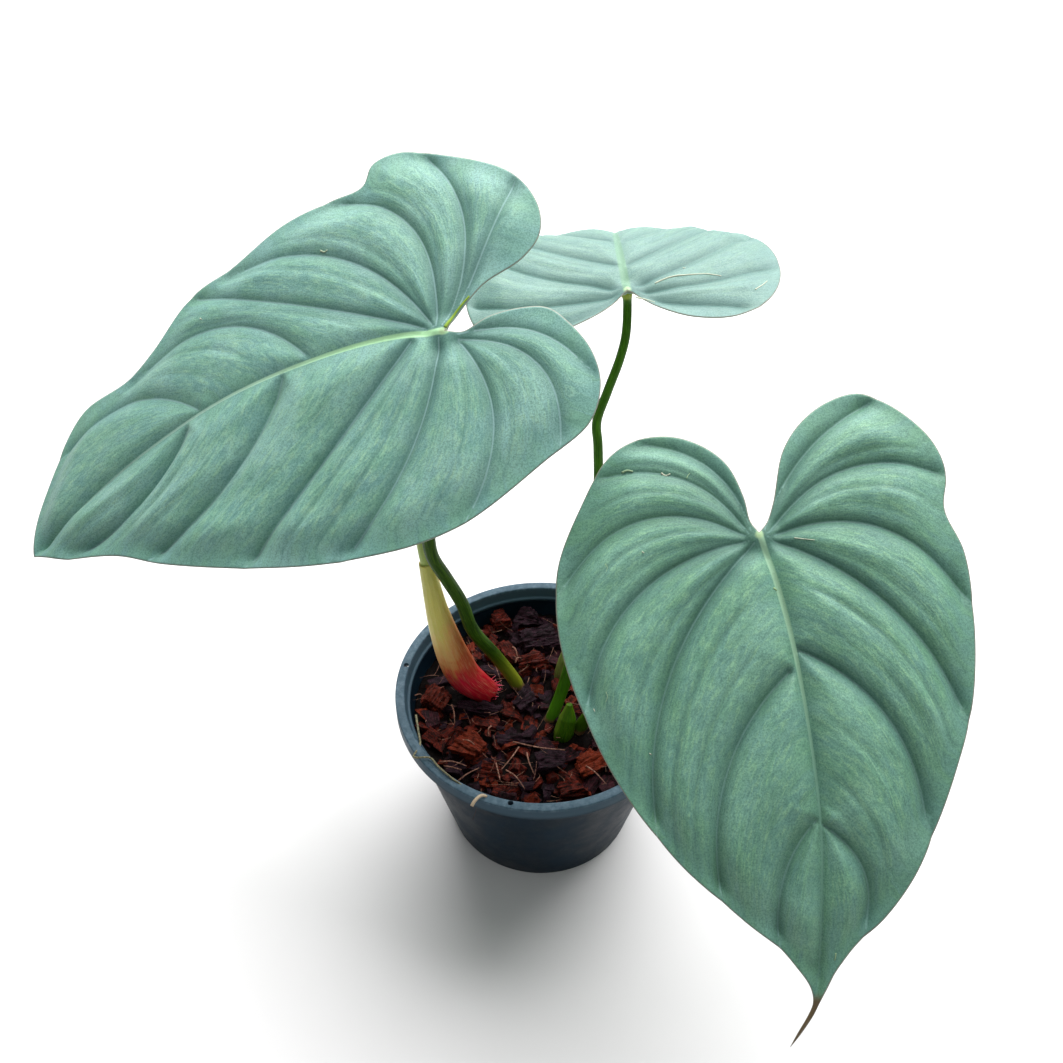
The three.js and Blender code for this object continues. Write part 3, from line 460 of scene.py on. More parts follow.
def ring_points(centres, sides, ups, radii, angles):
    """Rings round a line. radii has a value for each ring and angle."""
    return (centres[:, None, :]
            + radii[:, :, None] * np.cos(angles)[None, :, None] * sides[:, None, :]
            + radii[:, :, None] * np.sin(angles)[None, :, None] * ups[:, None, :])


def loft(rings):
    """Points and faces of a closed body through rings, with a fan at each end."""
    count, sides, _ = rings.shape
    row, column = np.meshgrid(np.arange(count - 1), np.arange(sides), indexing="ij")
    after = (column + 1) % sides
    base = row * sides
    walls = np.stack([base + column, base + after, base + sides + after, base + sides + column], -1)
    points = np.vstack([rings.reshape(-1, 3), rings[0].mean(0), rings[-1].mean(0)])
    foot, top = count * sides, count * sides + 1
    faces = walls.reshape(-1, 4).tolist()
    last = (count - 1) * sides
    for k in range(sides):
        following = (k + 1) % sides
        faces.append((foot, following, k))
        faces.append((top, last + k, last + following))
    return points, faces


def ring_mark(values, sides):
    """For every point of a loft, the value of its ring."""
    return np.append(np.repeat(values, sides), [values[0], values[-1]])


def side_mark(values, steps):
    """For every point of a loft, the value of its place round the ring, and 0 for the two ends."""
    return np.append(np.tile(values, steps), [0.0, 0.0])


def skin_mark(angles, arc):
    """For every point of a loft, its place round and along the skin, which streaks follow."""
    around = side_mark(np.cos(angles), len(arc)), side_mark(np.sin(angles), len(arc))
    return np.column_stack([around[0], ring_mark(arc, len(angles)), around[1]])


def joined(bodies):
    """Points and faces of many bodies as one."""
    points, faces, count = [], [], 0
    for body_points, body_faces in bodies:
        points.append(body_points)
        faces += [tuple(k + count for k in face) for face in body_faces]
        count += len(body_points)
    return np.vstack(points), faces


def new_mesh(name, points, faces):
    """A mesh in metres from points in millimetres."""
    mesh = bpy.data.meshes.new(name)
    mesh.from_pydata((np.asarray(points) * MM).tolist(), [], faces)
    return mesh


def new_object(name, data):
    piece = bpy.data.objects.new(name, data)
    bpy.context.scene.collection.objects.link(piece)
    return piece


def add_piece(name, body, material, replaces=(), marks=None, sharp=None):
    """A mesh piece that rides with the part. marks are named values for its points, for the shader."""
    mesh = new_mesh(name, *body)
    for mark, values in (marks or {}).items():
        values = np.asarray(values, np.float32)
        kind, key = ("FLOAT", "value") if values.ndim == 1 else ("FLOAT_VECTOR", "vector")
        mesh.attributes.new(mark, kind, "POINT").data.foreach_set(key, values.ravel())
    mesh.shade_smooth()
    if sharp is not None:
        mesh.set_sharp_from_angle(angle=math.radians(sharp))
    mesh.materials.append(material)
    mesh.validate()
    piece = new_object(name, mesh)
    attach(piece, "root")
    if replaces:
        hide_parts(*replaces)
    return piece


# Materials

class Paint:
    """A principled material and short calls that add nodes to it."""

    def __init__(self, name, roughness=0.5, specular=0.5, **values):
        self.material = bpy.data.materials.new(name)
        self.material.use_nodes = True
        self.tree = self.material.node_tree
        self.surface = self.tree.nodes["Principled BSDF"]
        self.set("Roughness", roughness)
        self.set("Specular IOR Level", specular)
        for socket, value in values.items():
            self.set(socket.replace("_", " "), value)

    def put(self, socket, value):
        if isinstance(value, bpy.types.NodeSocket):
            self.tree.links.new(value, socket)
        else:
            socket.default_value = value

    def set(self, socket, value):
        self.put(self.surface.inputs[socket], value)

    def add(self, kind, values, **settings):
        node = self.tree.nodes.new(kind)
        for key, value in settings.items():
            setattr(node, key, value)
        for key, value in values.items():
            self.put(node.inputs[key], value)
        return node

    def place(self, stretch=(1.0, 1.0, 1.0)):
        """Position in the part's frame, in millimetres, stretched along each axis."""
        spot = self.add("ShaderNodeTexCoord", {}).outputs["Object"]
        scale = tuple(s / MM for s in stretch)
        return self.add("ShaderNodeMapping", {"Vector": spot, "Scale": scale}).outputs["Vector"]

    def mark(self, name):
        return self.add("ShaderNodeAttribute", {}, attribute_name=name).outputs["Fac"]

    def mark_vector(self, name, stretch):
        vector = self.add("ShaderNodeAttribute", {}, attribute_name=name).outputs["Vector"]
        return self.add("ShaderNodeMapping", {"Vector": vector, "Scale": stretch}).outputs["Vector"]

    def noise(self, vector, scale, detail, rough):
        values = {"Vector": vector, "Scale": scale, "Detail": detail, "Roughness": rough}
        return self.add("ShaderNodeTexNoise", values).outputs["Fac"]

    def ramp(self, value, low, high, at_low=0.0, at_high=1.0):
        """at_low below low, at_high above high, and a smooth way between."""
        values = {"Value": value, "From Min": low, "From Max": high, "To Min": at_low, "To Max": at_high}
        return self.add("ShaderNodeMapRange", values, interpolation_type="SMOOTHSTEP").outputs["Result"]

    def math(self, operation, first, second):
        return self.add("ShaderNodeMath", {0: first, 1: second}, operation=operation).outputs[0]

    def times(self, first, second):
        return self.math("MULTIPLY", first, second)

    def mix(self, share, first, second):
        """From the first colour to the second. Each is a socket or a code such as "7a3a22"."""
        first, second = (colour(tone) if isinstance(tone, str) else tone for tone in (first, second))
        return self.add("ShaderNodeMix", {0: share, 6: first, 7: second}, data_type="RGBA").outputs[2]

    def layer(self, below, above, value, low, high, at_low=0.0, at_high=1.0):
        """The colour below, covered by the one above as far as a ramp of the value says."""
        return self.mix(self.ramp(value, low, high, at_low, at_high), below, above)

    def bump(self, height, distance, strength, under=None):
        """Surface relief that many millimetres deep, on top of an earlier bump."""
        values = {"Height": height, "Distance": distance * MM, "Strength": strength}
        if under is not None:
            values["Normal"] = under
        return self.add("ShaderNodeBump", values).outputs["Normal"]


def leaf_material(name, shades):
    """Velvety blade: streaks along the veins, fine pale vein lines, a pale midrib and margin, painted
    shade beside the veins, and a tint on the raised fields that is partly painted highlight.
    """
    paint = Paint(name, roughness=0.5, specular=0.3, Sheen_Weight=0.08, Sheen_Roughness=0.5)
    streaks = paint.noise(paint.mark_vector("flow", (0.9, 0.04, 1.0)), 1.5, 5.0, 0.65)
    fine_streaks = paint.noise(paint.mark_vector("flow", (1.6, 0.04, 1.0)), 4.0, 4.0, 0.65)
    clouds = paint.noise(paint.place(), 0.035, 3.0, 0.6)
    grain = paint.noise(paint.place(), 1.5, 3.0, 0.7)
    skin = paint.layer(shades["cool"], shades["warm"], streaks, 0.34, 0.66)
    skin = paint.layer(skin, shades["light"], clouds, 0.42, 0.68, 0.0, 0.35)
    # Yellow-green tint on the raised fields: partly the leaf's own colour, partly painted highlight on
    # the crests.
    crest = paint.times(paint.mark("quilt"), paint.ramp(fine_streaks, 0.45, 0.7))
    skin = paint.mix(paint.times(crest, 0.5), skin, shades["crest"])
    skin = paint.layer(skin, shades["dark"], fine_streaks, 0.3, 0.5, 0.3, 0.0)
    skin = paint.layer(skin, shades["dark"], grain, 0.4, 0.66, 0.0, 0.45)
    vein = paint.mark("vein")
    # Painted shade beside the veins, strongest near the sinus and weaker towards the tip.
    painted_valley_shade = paint.times(paint.ramp(vein, 0.3, 6.0, 0.6, 0.0),
                         paint.ramp(paint.mark("collar"), 8.0, 90.0, 1.0, 0.35))
    skin = paint.mix(painted_valley_shade, skin, shades["dark"])
    skin = paint.layer(skin, shades["dark"], paint.mark("fine_vein"), 0.2, 1.0, 0.0, 0.3)
    skin = paint.layer(skin, shades["vein"], vein, 0.12, 0.5, shades["vein_share"], 0.0)
    far = paint.mark("far")
    rib = paint.layer(shades["rib"], shades["far_rib"], far, 0.12, 0.6)
    rib_share = paint.times(paint.ramp(paint.mark("rib"), 0.7, 1.25, 1.0, 0.0),
                            paint.ramp(far, 0.3, 0.9, 0.95, shades["far_share"]))
    skin = paint.mix(rib_share, skin, rib)
    skin = paint.layer(skin, "9fb98a", paint.mark("collar"), 0.8, 2.2, 0.8, 0.0)
    skin = paint.layer(skin, "8c8277", paint.mark("margin"), 0.15, 0.55, 0.75, 0.0)
    below = paint.layer("6f9376", "9fb888", vein, 0.5, 1.8, 0.8, 0.0)
    skin = paint.mix(paint.mark("under"), skin, below)
    skin = paint.layer(skin, "5d4d33", paint.mark("tail"), 0.1, 0.9)
    paint.set("Base Color", skin)
    paint.set("Roughness", paint.ramp(grain, 0.3, 0.8, 0.44, 0.62))
    relief = paint.bump(fine_streaks, 0.3, 0.4)
    paint.set("Normal", paint.bump(grain, 0.22, 0.7, relief))
    return paint.material


def stalk_material(name, shades):
    """Smooth green stalk with lengthwise streaks, paler at the foot and scarred brown at its end."""
    paint = Paint(name, roughness=0.45, specular=0.12)
    streaks = paint.noise(paint.mark_vector("skin", (3.0, 0.03, 1.0)), 3.0, 4.0, 0.6)
    specks = paint.noise(paint.place(), 0.7, 4.0, 0.6)
    tone = paint.layer(shades["dark"], shades["light"], streaks, 0.35, 0.68)
    tone = paint.layer(tone, shades["foot"], paint.mark("foot"), 0.0, 1.0)
    tone = paint.layer(tone, shades["speck"], specks, 0.6, 0.78, 0.0, 0.45)
    tone = paint.layer(tone, "6b5236", paint.mark("scar"), 0.2, 0.9)
    # Yellow-green at the stalk's collar. On the green sheath the same mark carries a painted highlight.
    tone = paint.layer(tone, "8a9a3c", paint.mark("collar"), 0.1, 0.9)
    paint.set("Base Color", tone)
    paint.set("Roughness", paint.ramp(specks, 0.3, 0.7, 0.38, 0.55))
    paint.set("Normal", paint.bump(streaks, 0.25, 0.4))
    return paint.material


# Leaf blades

def bezier(points):
    """Points along the quadratic curve that a vein's three points give."""
    start, pull, end = (np.array(p, float) for p in points)
    t = np.linspace(0.0, 1.0, VEIN_STEPS)[:, None]
    return (1 - t) ** 2 * start + 2 * t * (1 - t) * pull + t ** 2 * end


def line_to_tip(leaf, key):
    """Curve from the sinus to the tip by way of a list of points."""
    return dense_curve([(0, 0), *leaf[key], leaf["tip"]])


def midrib_line(leaf):
    return spaced(line_to_tip(leaf, "midrib"), WEAVE.midrib_step)


def vein_line(vein):
    """A side vein that runs on past its end, so that its valley has no blunt end."""
    line = bezier(vein)
    return np.vstack([line, line[-1] + BLADE.run_on * unit(line[-1:] - line[-2:-1])])


def halves(leaf):
    """Side veins of the left half and of the right half."""
    return leaf["left_veins"], leaf["right_veins"]


def families(leaf):
    """Veins of each half in order from sinus to tip, ended by the midrib's own last stretch."""
    tip = np.array(leaf["tip"], float)
    for veins in halves(leaf):
        start = np.array(veins[-1][0], float)
        yield [*veins, [tuple(start), tuple((start + tip) / 2), tuple(tip)]]


def between(first, second, share):
    """The vein that runs that share of the way from one vein to its neighbour."""
    return [tuple(np.array(a) * (1 - share) + np.array(b) * share) for a, b in zip(first, second)]


def fine_veins(veins):
    shares = [k / FIELD_PARTS for k in range(1, FIELD_PARTS)]
    return [between(a, b, share) for a, b in zip(veins, veins[1:]) for share in shares]


def reach(points, line):
    """Distance of each flat point from a line, and how far along the line its nearest spot is."""
    best = np.full(len(points), np.inf)
    along = np.zeros(len(points))
    lengths = lengths_along(line)
    for start, end, length in zip(line, line[1:], lengths):
        span = end - start
        size = max(span.dot(span), 1e-9)
        t = np.clip((points - start) @ span / size, 0.0, 1.0)
        gap = np.linalg.norm(points - start - t[:, None] * span, axis=1)
        nearer = gap < best
        best = np.where(nearer, gap, best)
        along = np.where(nearer, length + t * math.sqrt(size), along)
    return best, along


def nearest(points, lines):
    """Distance of each flat point from the nearest of several lines."""
    return np.min([reach(points, line)[0] for line in lines], axis=0)


def inside(points, outline):
    """Whether each flat point lies within a closed outline."""
    within = np.zeros(len(points), bool)
    for (x1, y1), (x2, y2) in zip(outline, np.roll(outline, -1, axis=0)):
        crosses = (y1 > points[:, 1]) != (y2 > points[:, 1])
        if y1 != y2:
            within ^= crosses & (points[:, 0] < x1 + (points[:, 1] - y1) * (x2 - x1) / (y2 - y1))
    return within


def margin_line(leaf):
    """Closed outline: the right side from sinus to tip, then the left side back."""
    right, left = (spaced(line_to_tip(leaf, key), WEAVE.step) for key in ("right_edge", "left_edge"))
    return np.vstack([right, left[1:-1][::-1]])


def closed(outline):
    """The outline with its first point again at its end."""
    return np.vstack([outline, outline[:1]])


def rows_beside(line, offsets):
    """Rows of points on both sides of a line, and one row on it for an offset of 0."""
    line = spaced(line, WEAVE.step)
    ahead = unit(np.gradient(line, axis=0))
    across = np.column_stack([-ahead[:, 1], ahead[:, 0]])
    ways = [way for offset in offsets for way in ((offset, -offset) if offset else (0.0,))]
    return [line + way * across for way in ways]


class Scatter:
    """Flat points, kept in cells of one unit, that stay clear of each other."""

    def __init__(self, points):
        self.points = []
        self.cells = {}
        for point in points:
            self.keep(point)

    def keep(self, point):
        self.points.append(point)
        self.cells.setdefault((int(point[0] // 1), int(point[1] // 1)), []).append(point)

    def add(self, wanted, clear):
        for point in wanted.tolist():
            column, row = int(point[0] // 1), int(point[1] // 1)
            near = (other for i in (-1, 0, 1) for j in (-1, 0, 1)
                    for other in self.cells.get((column + i, row + j), ()))
            if all((point[0] - x) ** 2 + (point[1] - y) ** 2 > clear * clear for x, y in near):
                self.keep(point)


def blade_points(leaf, margin):
    """Flat points of a blade: margin, rows beside it, the midrib and the veins, then an even fill."""
    rows = rows_beside(closed(margin), WEAVE.margin_rows)
    rows += rows_beside(midrib_line(leaf), WEAVE.midrib_rows)
    for veins in halves(leaf):
        for vein in veins:
            rows += rows_beside(bezier(vein), WEAVE.vein_rows)
    for veins in halves(leaf):
        for vein in fine_veins(veins):
            rows += rows_beside(bezier(vein), WEAVE.fine_rows)
    rows = np.vstack(rows)
    scatter = Scatter(margin.tolist())
    scatter.add(rows[inside(rows, margin)], WEAVE.clear)
    fill = WEAVE.fill
    (low_u, low_v), (high_u, high_v) = margin.min(0), margin.max(0)
    u, v = np.meshgrid(np.arange(low_u, high_u, fill * math.sqrt(0.75)), np.arange(low_v, high_v, fill),
                       indexing="ij")
    v = v + 0.5 * fill * (np.arange(len(u)) % 2)[:, None]
    play = WEAVE.fill_play * np.random.default_rng(leaf["seed"]).standard_normal((u.size, 2))
    grid = np.column_stack([u.ravel(), v.ravel()]) + play
    scatter.add(grid[inside(grid, margin)], WEAVE.fill_clear)
    return scatter.points


def blade_mesh(leaf, margin):
    """Flat points and triangles, all wound the same way."""
    points = blade_points(leaf, margin)
    ring = list(range(len(margin)))
    result = delaunay_2d_cdt([Vector(p) for p in points], [], [ring], 1, 1e-4)
    flat = np.array([tuple(p) for p in result[0]])
    triangles = np.array([face for face in result[2] if len(face) == 3])
    a, b, c = (flat[triangles[:, k]] for k in range(3))
    area = (b[:, 0] - a[:, 0]) * (c[:, 1] - a[:, 1]) - (b[:, 1] - a[:, 1]) * (c[:, 0] - a[:, 0])
    triangles[area < 0] = triangles[area < 0][:, ::-1]
    return flat, triangles


def bent_height(leaf, u, v):
    """Height of the blade's bent sheet over its flat drawing."""
    bend = -leaf["arch"] * u * u - leaf["side_arch"] * v * v + leaf["twist"] * u * v
    return bend / 1e3 - leaf["tip_arch"] * u ** 3 / 1e6


def blade_normals(leaf, u, v):
    """Directions straight up from the bent sheet."""
    step = BLADE.slope_step
    slope_u = (bent_height(leaf, u + step, v) - bent_height(leaf, u - step, v)) / (2 * step)
    slope_v = (bent_height(leaf, u, v + step) - bent_height(leaf, u, v - step)) / (2 * step)
    return unit(np.column_stack([-slope_u, -slope_v, np.ones_like(u)]))


def blade_matrix(leaf):
    """Where the bent sheet stands: turned by roll, dip and heading, with its sinus in place."""
    turn = Matrix.Rotation(math.radians(leaf["heading"]), 4, "Z")
    turn = turn @ Matrix.Rotation(math.radians(leaf["dip"]), 4, "Y")
    turn = turn @ Matrix.Rotation(math.radians(leaf["roll"]), 4, "X")
    return Matrix.Translation(leaf["sinus"]) @ turn


def fine_vein_mask(leaf, flat):
    """How strongly a finer vein shows at each flat point, from 0 to 1."""
    random = np.random.default_rng(leaf["seed"] + 100)
    mask = np.zeros(len(flat))
    for veins in halves(leaf):
        for vein in fine_veins(veins):
            gap, along = reach(flat, bezier(vein))
            strength = random.uniform(*BLADE.groove_strength)
            strength = strength * ease((along - BLADE.groove_from) / BLADE.groove_fade)
            mask = np.maximum(mask, strength * (1 - ease(gap / BLADE.groove_width)))
    return mask


def flow_past(leaf, flat):
    """Coordinates that run across and along the veins at each flat point."""
    flow = np.zeros((len(flat), 3))
    middle = midrib_line(leaf)
    on_left = flat[:, 1] > np.interp(flat[:, 0], middle[:, 0], middle[:, 1])
    for half, (veins, chosen) in enumerate(zip(families(leaf), (on_left, ~on_left))):
        pairs = zip(veins, veins[1:])
        lines = [between(a, b, k / FLOW_PARTS) for a, b in pairs for k in range(FLOW_PARTS)]
        found = [reach(flat[chosen], bezier(line)) for line in [*lines, veins[-1]]]
        gaps = np.array([gap for gap, _ in found])
        order = np.argsort(gaps, axis=0)[:2]
        near, next_near = (np.take_along_axis(gaps, order[k:k + 1], 0)[0] for k in (0, 1))
        share = near / np.maximum(near + next_near, 1e-6)
        phase = order[0] * (1 - share) + order[1] * share
        arcs = np.take_along_axis(np.array([arc for _, arc in found]), order[:1], 0)[0]
        flow[chosen] = np.column_stack([phase, arcs, np.full(len(phase), FLOW_GAP * half)])
    return flow


def blade_fields(leaf, flat, margin):
    """What each flat point needs to know: its distances to the lines of the blade, and the flow."""
    return {
        "midrib": reach(flat, midrib_line(leaf))[0],
        "vein": nearest(flat, [vein_line(vein) for veins in halves(leaf) for vein in veins]),
        "fine_vein": fine_vein_mask(leaf, flat),
        "margin": reach(flat, closed(margin))[0],
        "collar": np.hypot(flat[:, 0] - BLADE.collar_at, flat[:, 1]),
        "flow": flow_past(leaf, flat),
    }


def relief_strength(leaf, flat):
    """How strong the quilting is at each flat point."""
    u, v = flat.T
    left, right = (np.interp(u, BLADE.lobes, leaf[key]) for key in ("left_relief", "right_relief"))
    return right + (left - right) * ease(0.5 + v / BLADE.relief_blend)


def blade_relief(leaf, flat, fields):
    """Height of the upper face above the bent sheet, the thickness below it, and the quilting."""
    midrib, vein, margin, collar = (fields[name] for name in ("midrib", "vein", "margin", "collar"))
    to_rib = np.minimum(midrib, vein)
    quilt = 1 - np.exp(-to_rib / BLADE.quilt_width)
    inward = ease(margin / BLADE.margin_width)
    strength = relief_strength(leaf, flat)
    pucker = noise_at(fields["flow"] * BLADE.pucker_grain)
    field = (BLADE.dome_rise * ease(to_rib / BLADE.dome_width) + BLADE.pucker * quilt * pucker
             - BLADE.groove * fields["fine_vein"])
    at_margin = BLADE.valley_at_margin
    valley = at_margin + (1 - at_margin) * ease(margin / BLADE.valley_fade)
    valley = valley * ease((collar - BLADE.collar_clear) / BLADE.collar_width)
    drop = BLADE.quilt_rise * (1 - quilt) * valley
    raised_collar = BLADE.collar_rise * (1 - ease(collar / BLADE.collar_width))
    taper = 1 - np.clip(flat[:, 0] / leaf["tip"][0], 0, 1)
    crest = BLADE.crest * taper * (1 - ease(midrib / BLADE.crest_width))
    lift = inward * (BLADE.quilt_rise + strength * field) - strength * drop + crest + raised_collar
    rim = ease(margin / BLADE.rim_width)
    sheet = BLADE.rim_thickness + (BLADE.thickness - BLADE.rim_thickness) * rim
    mid_rib = BLADE.mid_rib * taper * (1 - ease(midrib / BLADE.rib_width))
    side_rib = BLADE.side_rib * rim * (1 - ease(vein / BLADE.rib_width))
    return lift, sheet + np.maximum(mid_rib, side_rib), quilt * inward


def blade_marks(leaf, flat, fields, quilt):
    """Values for the shader, the same for both faces. rib is 1 where the pale midrib ends."""
    u = flat[:, 0]
    along, widths = np.array(leaf["rib_reach"]).T
    return {
        **{name: fields[name] for name in ("vein", "fine_vein", "margin", "flow", "collar")},
        "quilt": quilt,
        "rib": fields["midrib"] / np.interp(u, along, widths),
        "far": np.clip(u / leaf["tip"][0], 0, 1),
        "tail": ease((u - leaf["tail"]) / BLADE.tail_fade),
    }


def sheet_points(leaf, flat, lift):
    """Place in the part's frame of flat points, raised that much above the bent sheet."""
    u, v = flat[:, 0], flat[:, 1]
    swept = v + leaf["sweep"] * np.maximum(u, 0) ** 2 / 1e3
    sheet = np.column_stack([u, swept, bent_height(leaf, u, v)])
    matrix = np.array(blade_matrix(leaf))
    return (sheet + blade_normals(leaf, u, v) * lift[:, None]) @ matrix[:3, :3].T + matrix[:3, 3]


def open_edges(triangles):
    """Edges that only one triangle has."""
    edges = {}
    for a, b, c in triangles:
        for edge in ((a, b), (b, c), (c, a)):
            if edges.pop((edge[1], edge[0]), None) is None:
                edges[edge] = True
    return list(edges)


def blade(side, material):
    """A leaf blade: its upper face, its lower face and a narrow wall between their margins."""
    leaf = LEAVES[side]
    margin = margin_line(leaf)
    flat, triangles = blade_mesh(leaf, margin)
    fields = blade_fields(leaf, flat, margin)
    lift, thickness, quilt = blade_relief(leaf, flat, fields)
    count = len(flat)
    faces = triangles.tolist() + (triangles[:, ::-1] + count).tolist()
    faces += [(b, a, count + a, count + b) for a, b in open_edges(triangles.tolist())]
    points = np.vstack([sheet_points(leaf, flat, lift), sheet_points(leaf, flat, lift - thickness)])
    upper = blade_marks(leaf, flat, fields, quilt)
    marks = {name: np.concatenate([values, values]) for name, values in upper.items()}
    marks["under"] = np.repeat([0.0, 1.0], count)
    return add_piece(f"blade_{side}", (points, faces), material, (f"leaf_{side}",), marks)


# Small scars and flecks on the blades: flat points, half width and kind, from white to pale green.
SCARS = {
    "right": [
        ([(-29.2, -52.9), (-29.7, -50.7), (-29.0, -48.3)], 0.5, 0.6),
        ([(-27.1, -36.9), (-25.9, -35.3), (-26.4, -33.3)], 0.45, 0.0),
        ([(-23.9, -26.9), (-25.0, -26.4), (-25.9, -25.6)], 0.2, 0.9),
        ([(2.8, 13.2), (3.7, 17.3), (4.3, 20.7)], 0.2, 0.1),
        ([(9.3, -60.1), (11.0, -59.2), (12.6, -59.8)], 0.14, 0.7),
        ([(5.5, -45.3), (5.8, -44.9), (6.1, -44.5)], 0.3, 0.1),
        ([(22.0, 3.9), (22.5, 4.5), (22.9, 5.1)], 0.45, 1.0),
        ([(59.1, -63.4), (61.1, -63.0), (62.9, -64.0)], 0.14, 0.6),
        ([(65.3, -69.7), (65.8, -69.4), (66.3, -69.2)], 0.25, 0.1),
        ([(82.9, -49.9), (83.3, -49.5), (83.6, -49.2)], 0.25, 0.1),
        ([(157.4, 6.3), (158.8, 5.9), (160.1, 5.3)], 0.3, 0.9),
    ],
    "left": [
        ([(52.8, -52.2), (51.1, -51.0), (49.4, -51.1)], 0.45, 0.4),
        ([(113.9, -47.0), (113.3, -46.4), (112.8, -45.9)], 0.25, 0.1),
        ([(-0.1, -1.4), (-2.1, -4.4), (-4.9, -7.9), (-8.1, -10.9), (-10.9, -13.3)], 0.8, 1.3),
    ],
    "back": [
        ([(3.4, -12.6), (5.0, -19.5), (5.1, -25.8), (5.1, -34.2), (3.6, -42.0)], 0.4, 0.1),
        ([(-4.0, -3.2), (-5.9, -6.9), (-8.7, -10.9)], 0.4, 0.0),
        ([(12.6, -26.4), (12.1, -26.8), (11.6, -27.2)], 0.4, 0.1),
        ([(-8.9, -54.7), (-5.1, -58.6), (-1.1, -61.6)], 0.3, 0.1),
    ],
}
SCAR = Settings(step=0.5, thin=0.6, sides=6)


def scar_material():
    paint = Paint("dry_scars", roughness=0.6, specular=0.2)
    kind = paint.mark("tone")
    tone = paint.layer("b4b8a4", "86a07c", kind, 0.0, 0.8)
    paint.set("Base Color", paint.layer(tone, "7f9a34", kind, 0.9, 1.3))
    return paint.material


def scars(side, material):
    """Thin dry marks that lie on a blade."""
    leaf = LEAVES[side]
    margin = margin_line(leaf)
    strands = []
    for points, width, kind in SCARS[side]:
        flat = spaced(dense_curve(points), SCAR.step)
        lift = blade_relief(leaf, flat, blade_fields(leaf, flat, margin))[0]
        strands.append((sheet_points(leaf, flat, lift), width, SCAR.thin * width, kind))
    return strand_set(f"scars_{side}", strands, SCAR.sides, material)


# Stalks, sheaths and the rolled leaf

def petiole(side, material):
    """Leaf stalk from the mix to the collar of its blade, with low ridges and a flared top."""
    steps, sides = STALK.steps, STALK.sides
    data = PETIOLES[side]
    seat = [tuple(blade_matrix(LEAVES[side]) @ Vector((STALK.in_front, 0.0, -depth)))
            for depth in (STALK.straight, STALK.under)]
    line, sideways, up, _, arc = course([*data["axis"], *seat], steps)
    left_over = arc[-1] - arc
    foot, top = data["foot"], data["top"]
    flare = 1 - ease(left_over / STALK.flare_length)
    flare = STALK.flare * flare * ease((left_over + STALK.brim) / STALK.brim_length)
    radius = profile_along((foot, (foot + 2 * top) / 3, top), steps) * (1 + flare)
    angles = full_turn(sides)
    ridges = 1 + sum(height * np.cos(count * angles + start) for count, height, start in STALK.ridges)
    wobble = 1 + STALK.wobble * np.outer(np.sin(arc / STALK.wobble_length), np.cos(angles))
    body = loft(ring_points(line, sideways, up, radius[:, None] * ridges * wobble, angles))
    above = body[0][:, 2] - MIX.level
    marks = {
        "skin": skin_mark(angles, arc),
        "foot": 1 - ease(above / STALK.pale_foot),
        "scar": 1 - ease((above + STALK.scar_depth) / STALK.scar_fade),
        "collar": ring_mark(1 - ease((left_over - STALK.collar) / STALK.collar_fade), sides),
    }
    return add_piece(f"stalk_{side}", body, material, (f"petiole_{side}",), marks)


# Bands of colour up the sheath: where each starts and where it is full, above the crimson foot.
SHEATH_BANDS = [
    (4.0, 20.0, "cc1436"),
    (18.0, 32.0, "cf6a3c"),
    (26.0, 42.0, "d6a263"),
    (38.0, 60.0, "c3b858"),
    (66.0, 94.0, "b4b054"),
]


def sheath_material():
    """Fleshy sheath: crimson foot, orange, then cream and yellow-green, with an orange-brown flank."""
    paint = Paint("fleshy_sheath", roughness=0.38, specular=0.3, Subsurface_Weight=0.1,
                  Subsurface_Scale=0.004)
    wander = paint.noise(paint.place(), 0.22, 3.0, 0.6)
    streaks = paint.noise(paint.mark_vector("skin", (2.4, 0.02, 2.4)), 3.0, 4.0, 0.65)
    fine = paint.noise(paint.mark_vector("skin", (7.0, 0.05, 7.0)), 3.0, 3.0, 0.6)
    specks = paint.noise(paint.place(), 1.3, 4.0, 0.7)
    shift = paint.times(paint.math("SUBTRACT", wander, 0.5), 16.0)
    streak_shift = paint.times(paint.math("SUBTRACT", streaks, 0.5), 24.0)
    height = paint.math("ADD", paint.mark("rise"), paint.math("ADD", shift, streak_shift))
    height = paint.math("SUBTRACT", height, paint.times(paint.mark("flank"), 12.0))
    tone = "b00020"
    for low, high, code in SHEATH_BANDS:
        tone = paint.layer(tone, code, height, low, high)
    rise = paint.mark("rise")
    middle = paint.times(paint.ramp(rise, 14.0, 30.0), paint.ramp(rise, 40.0, 84.0, 0.85, 0.0))
    tone = paint.mix(paint.times(paint.mark("flank"), middle), tone, "8e4a1e")
    tone = paint.layer(tone, "ecd9a4", fine, 0.45, 0.75, 0.0, 0.2)
    tone = paint.layer(tone, "8a5a34", specks, 0.58, 0.7, 0.0, 0.3)
    tone = paint.layer(tone, "6a4228", paint.mark("edge"), 0.5, 1.0, 0.0, 0.85)
    paint.set("Base Color", tone)
    paint.set("Normal", paint.bump(streaks, 0.4, 0.45))
    return paint.material


def sheath_wall(line, sideways, up, share, angles):
    """Rings of the rolled wall, each once round outside and back inside."""
    outer = profile_along(SHEATH.radius, len(line))[:, None]
    wall = np.minimum(SHEATH.wall, SHEATH.thin_wall_share * outer)
    thin = SHEATH.edge_wall
    taper = thin + (1 - thin) * ease(np.minimum(share, 1 - share) / SHEATH.edge_taper)
    keel = SHEATH.keel_height * np.exp(-((share - SHEATH.keel_at) / SHEATH.keel_width) ** 2)
    ribbed = 1 + SHEATH.rib_height * np.cos(SHEATH.ribs * angles) + keel
    outside = ring_points(line, sideways, up, outer * ribbed, angles)
    inside_back = ring_points(line, sideways, up, outer - wall * taper, angles)[:, ::-1]
    return np.concatenate([outside, inside_back], axis=1)


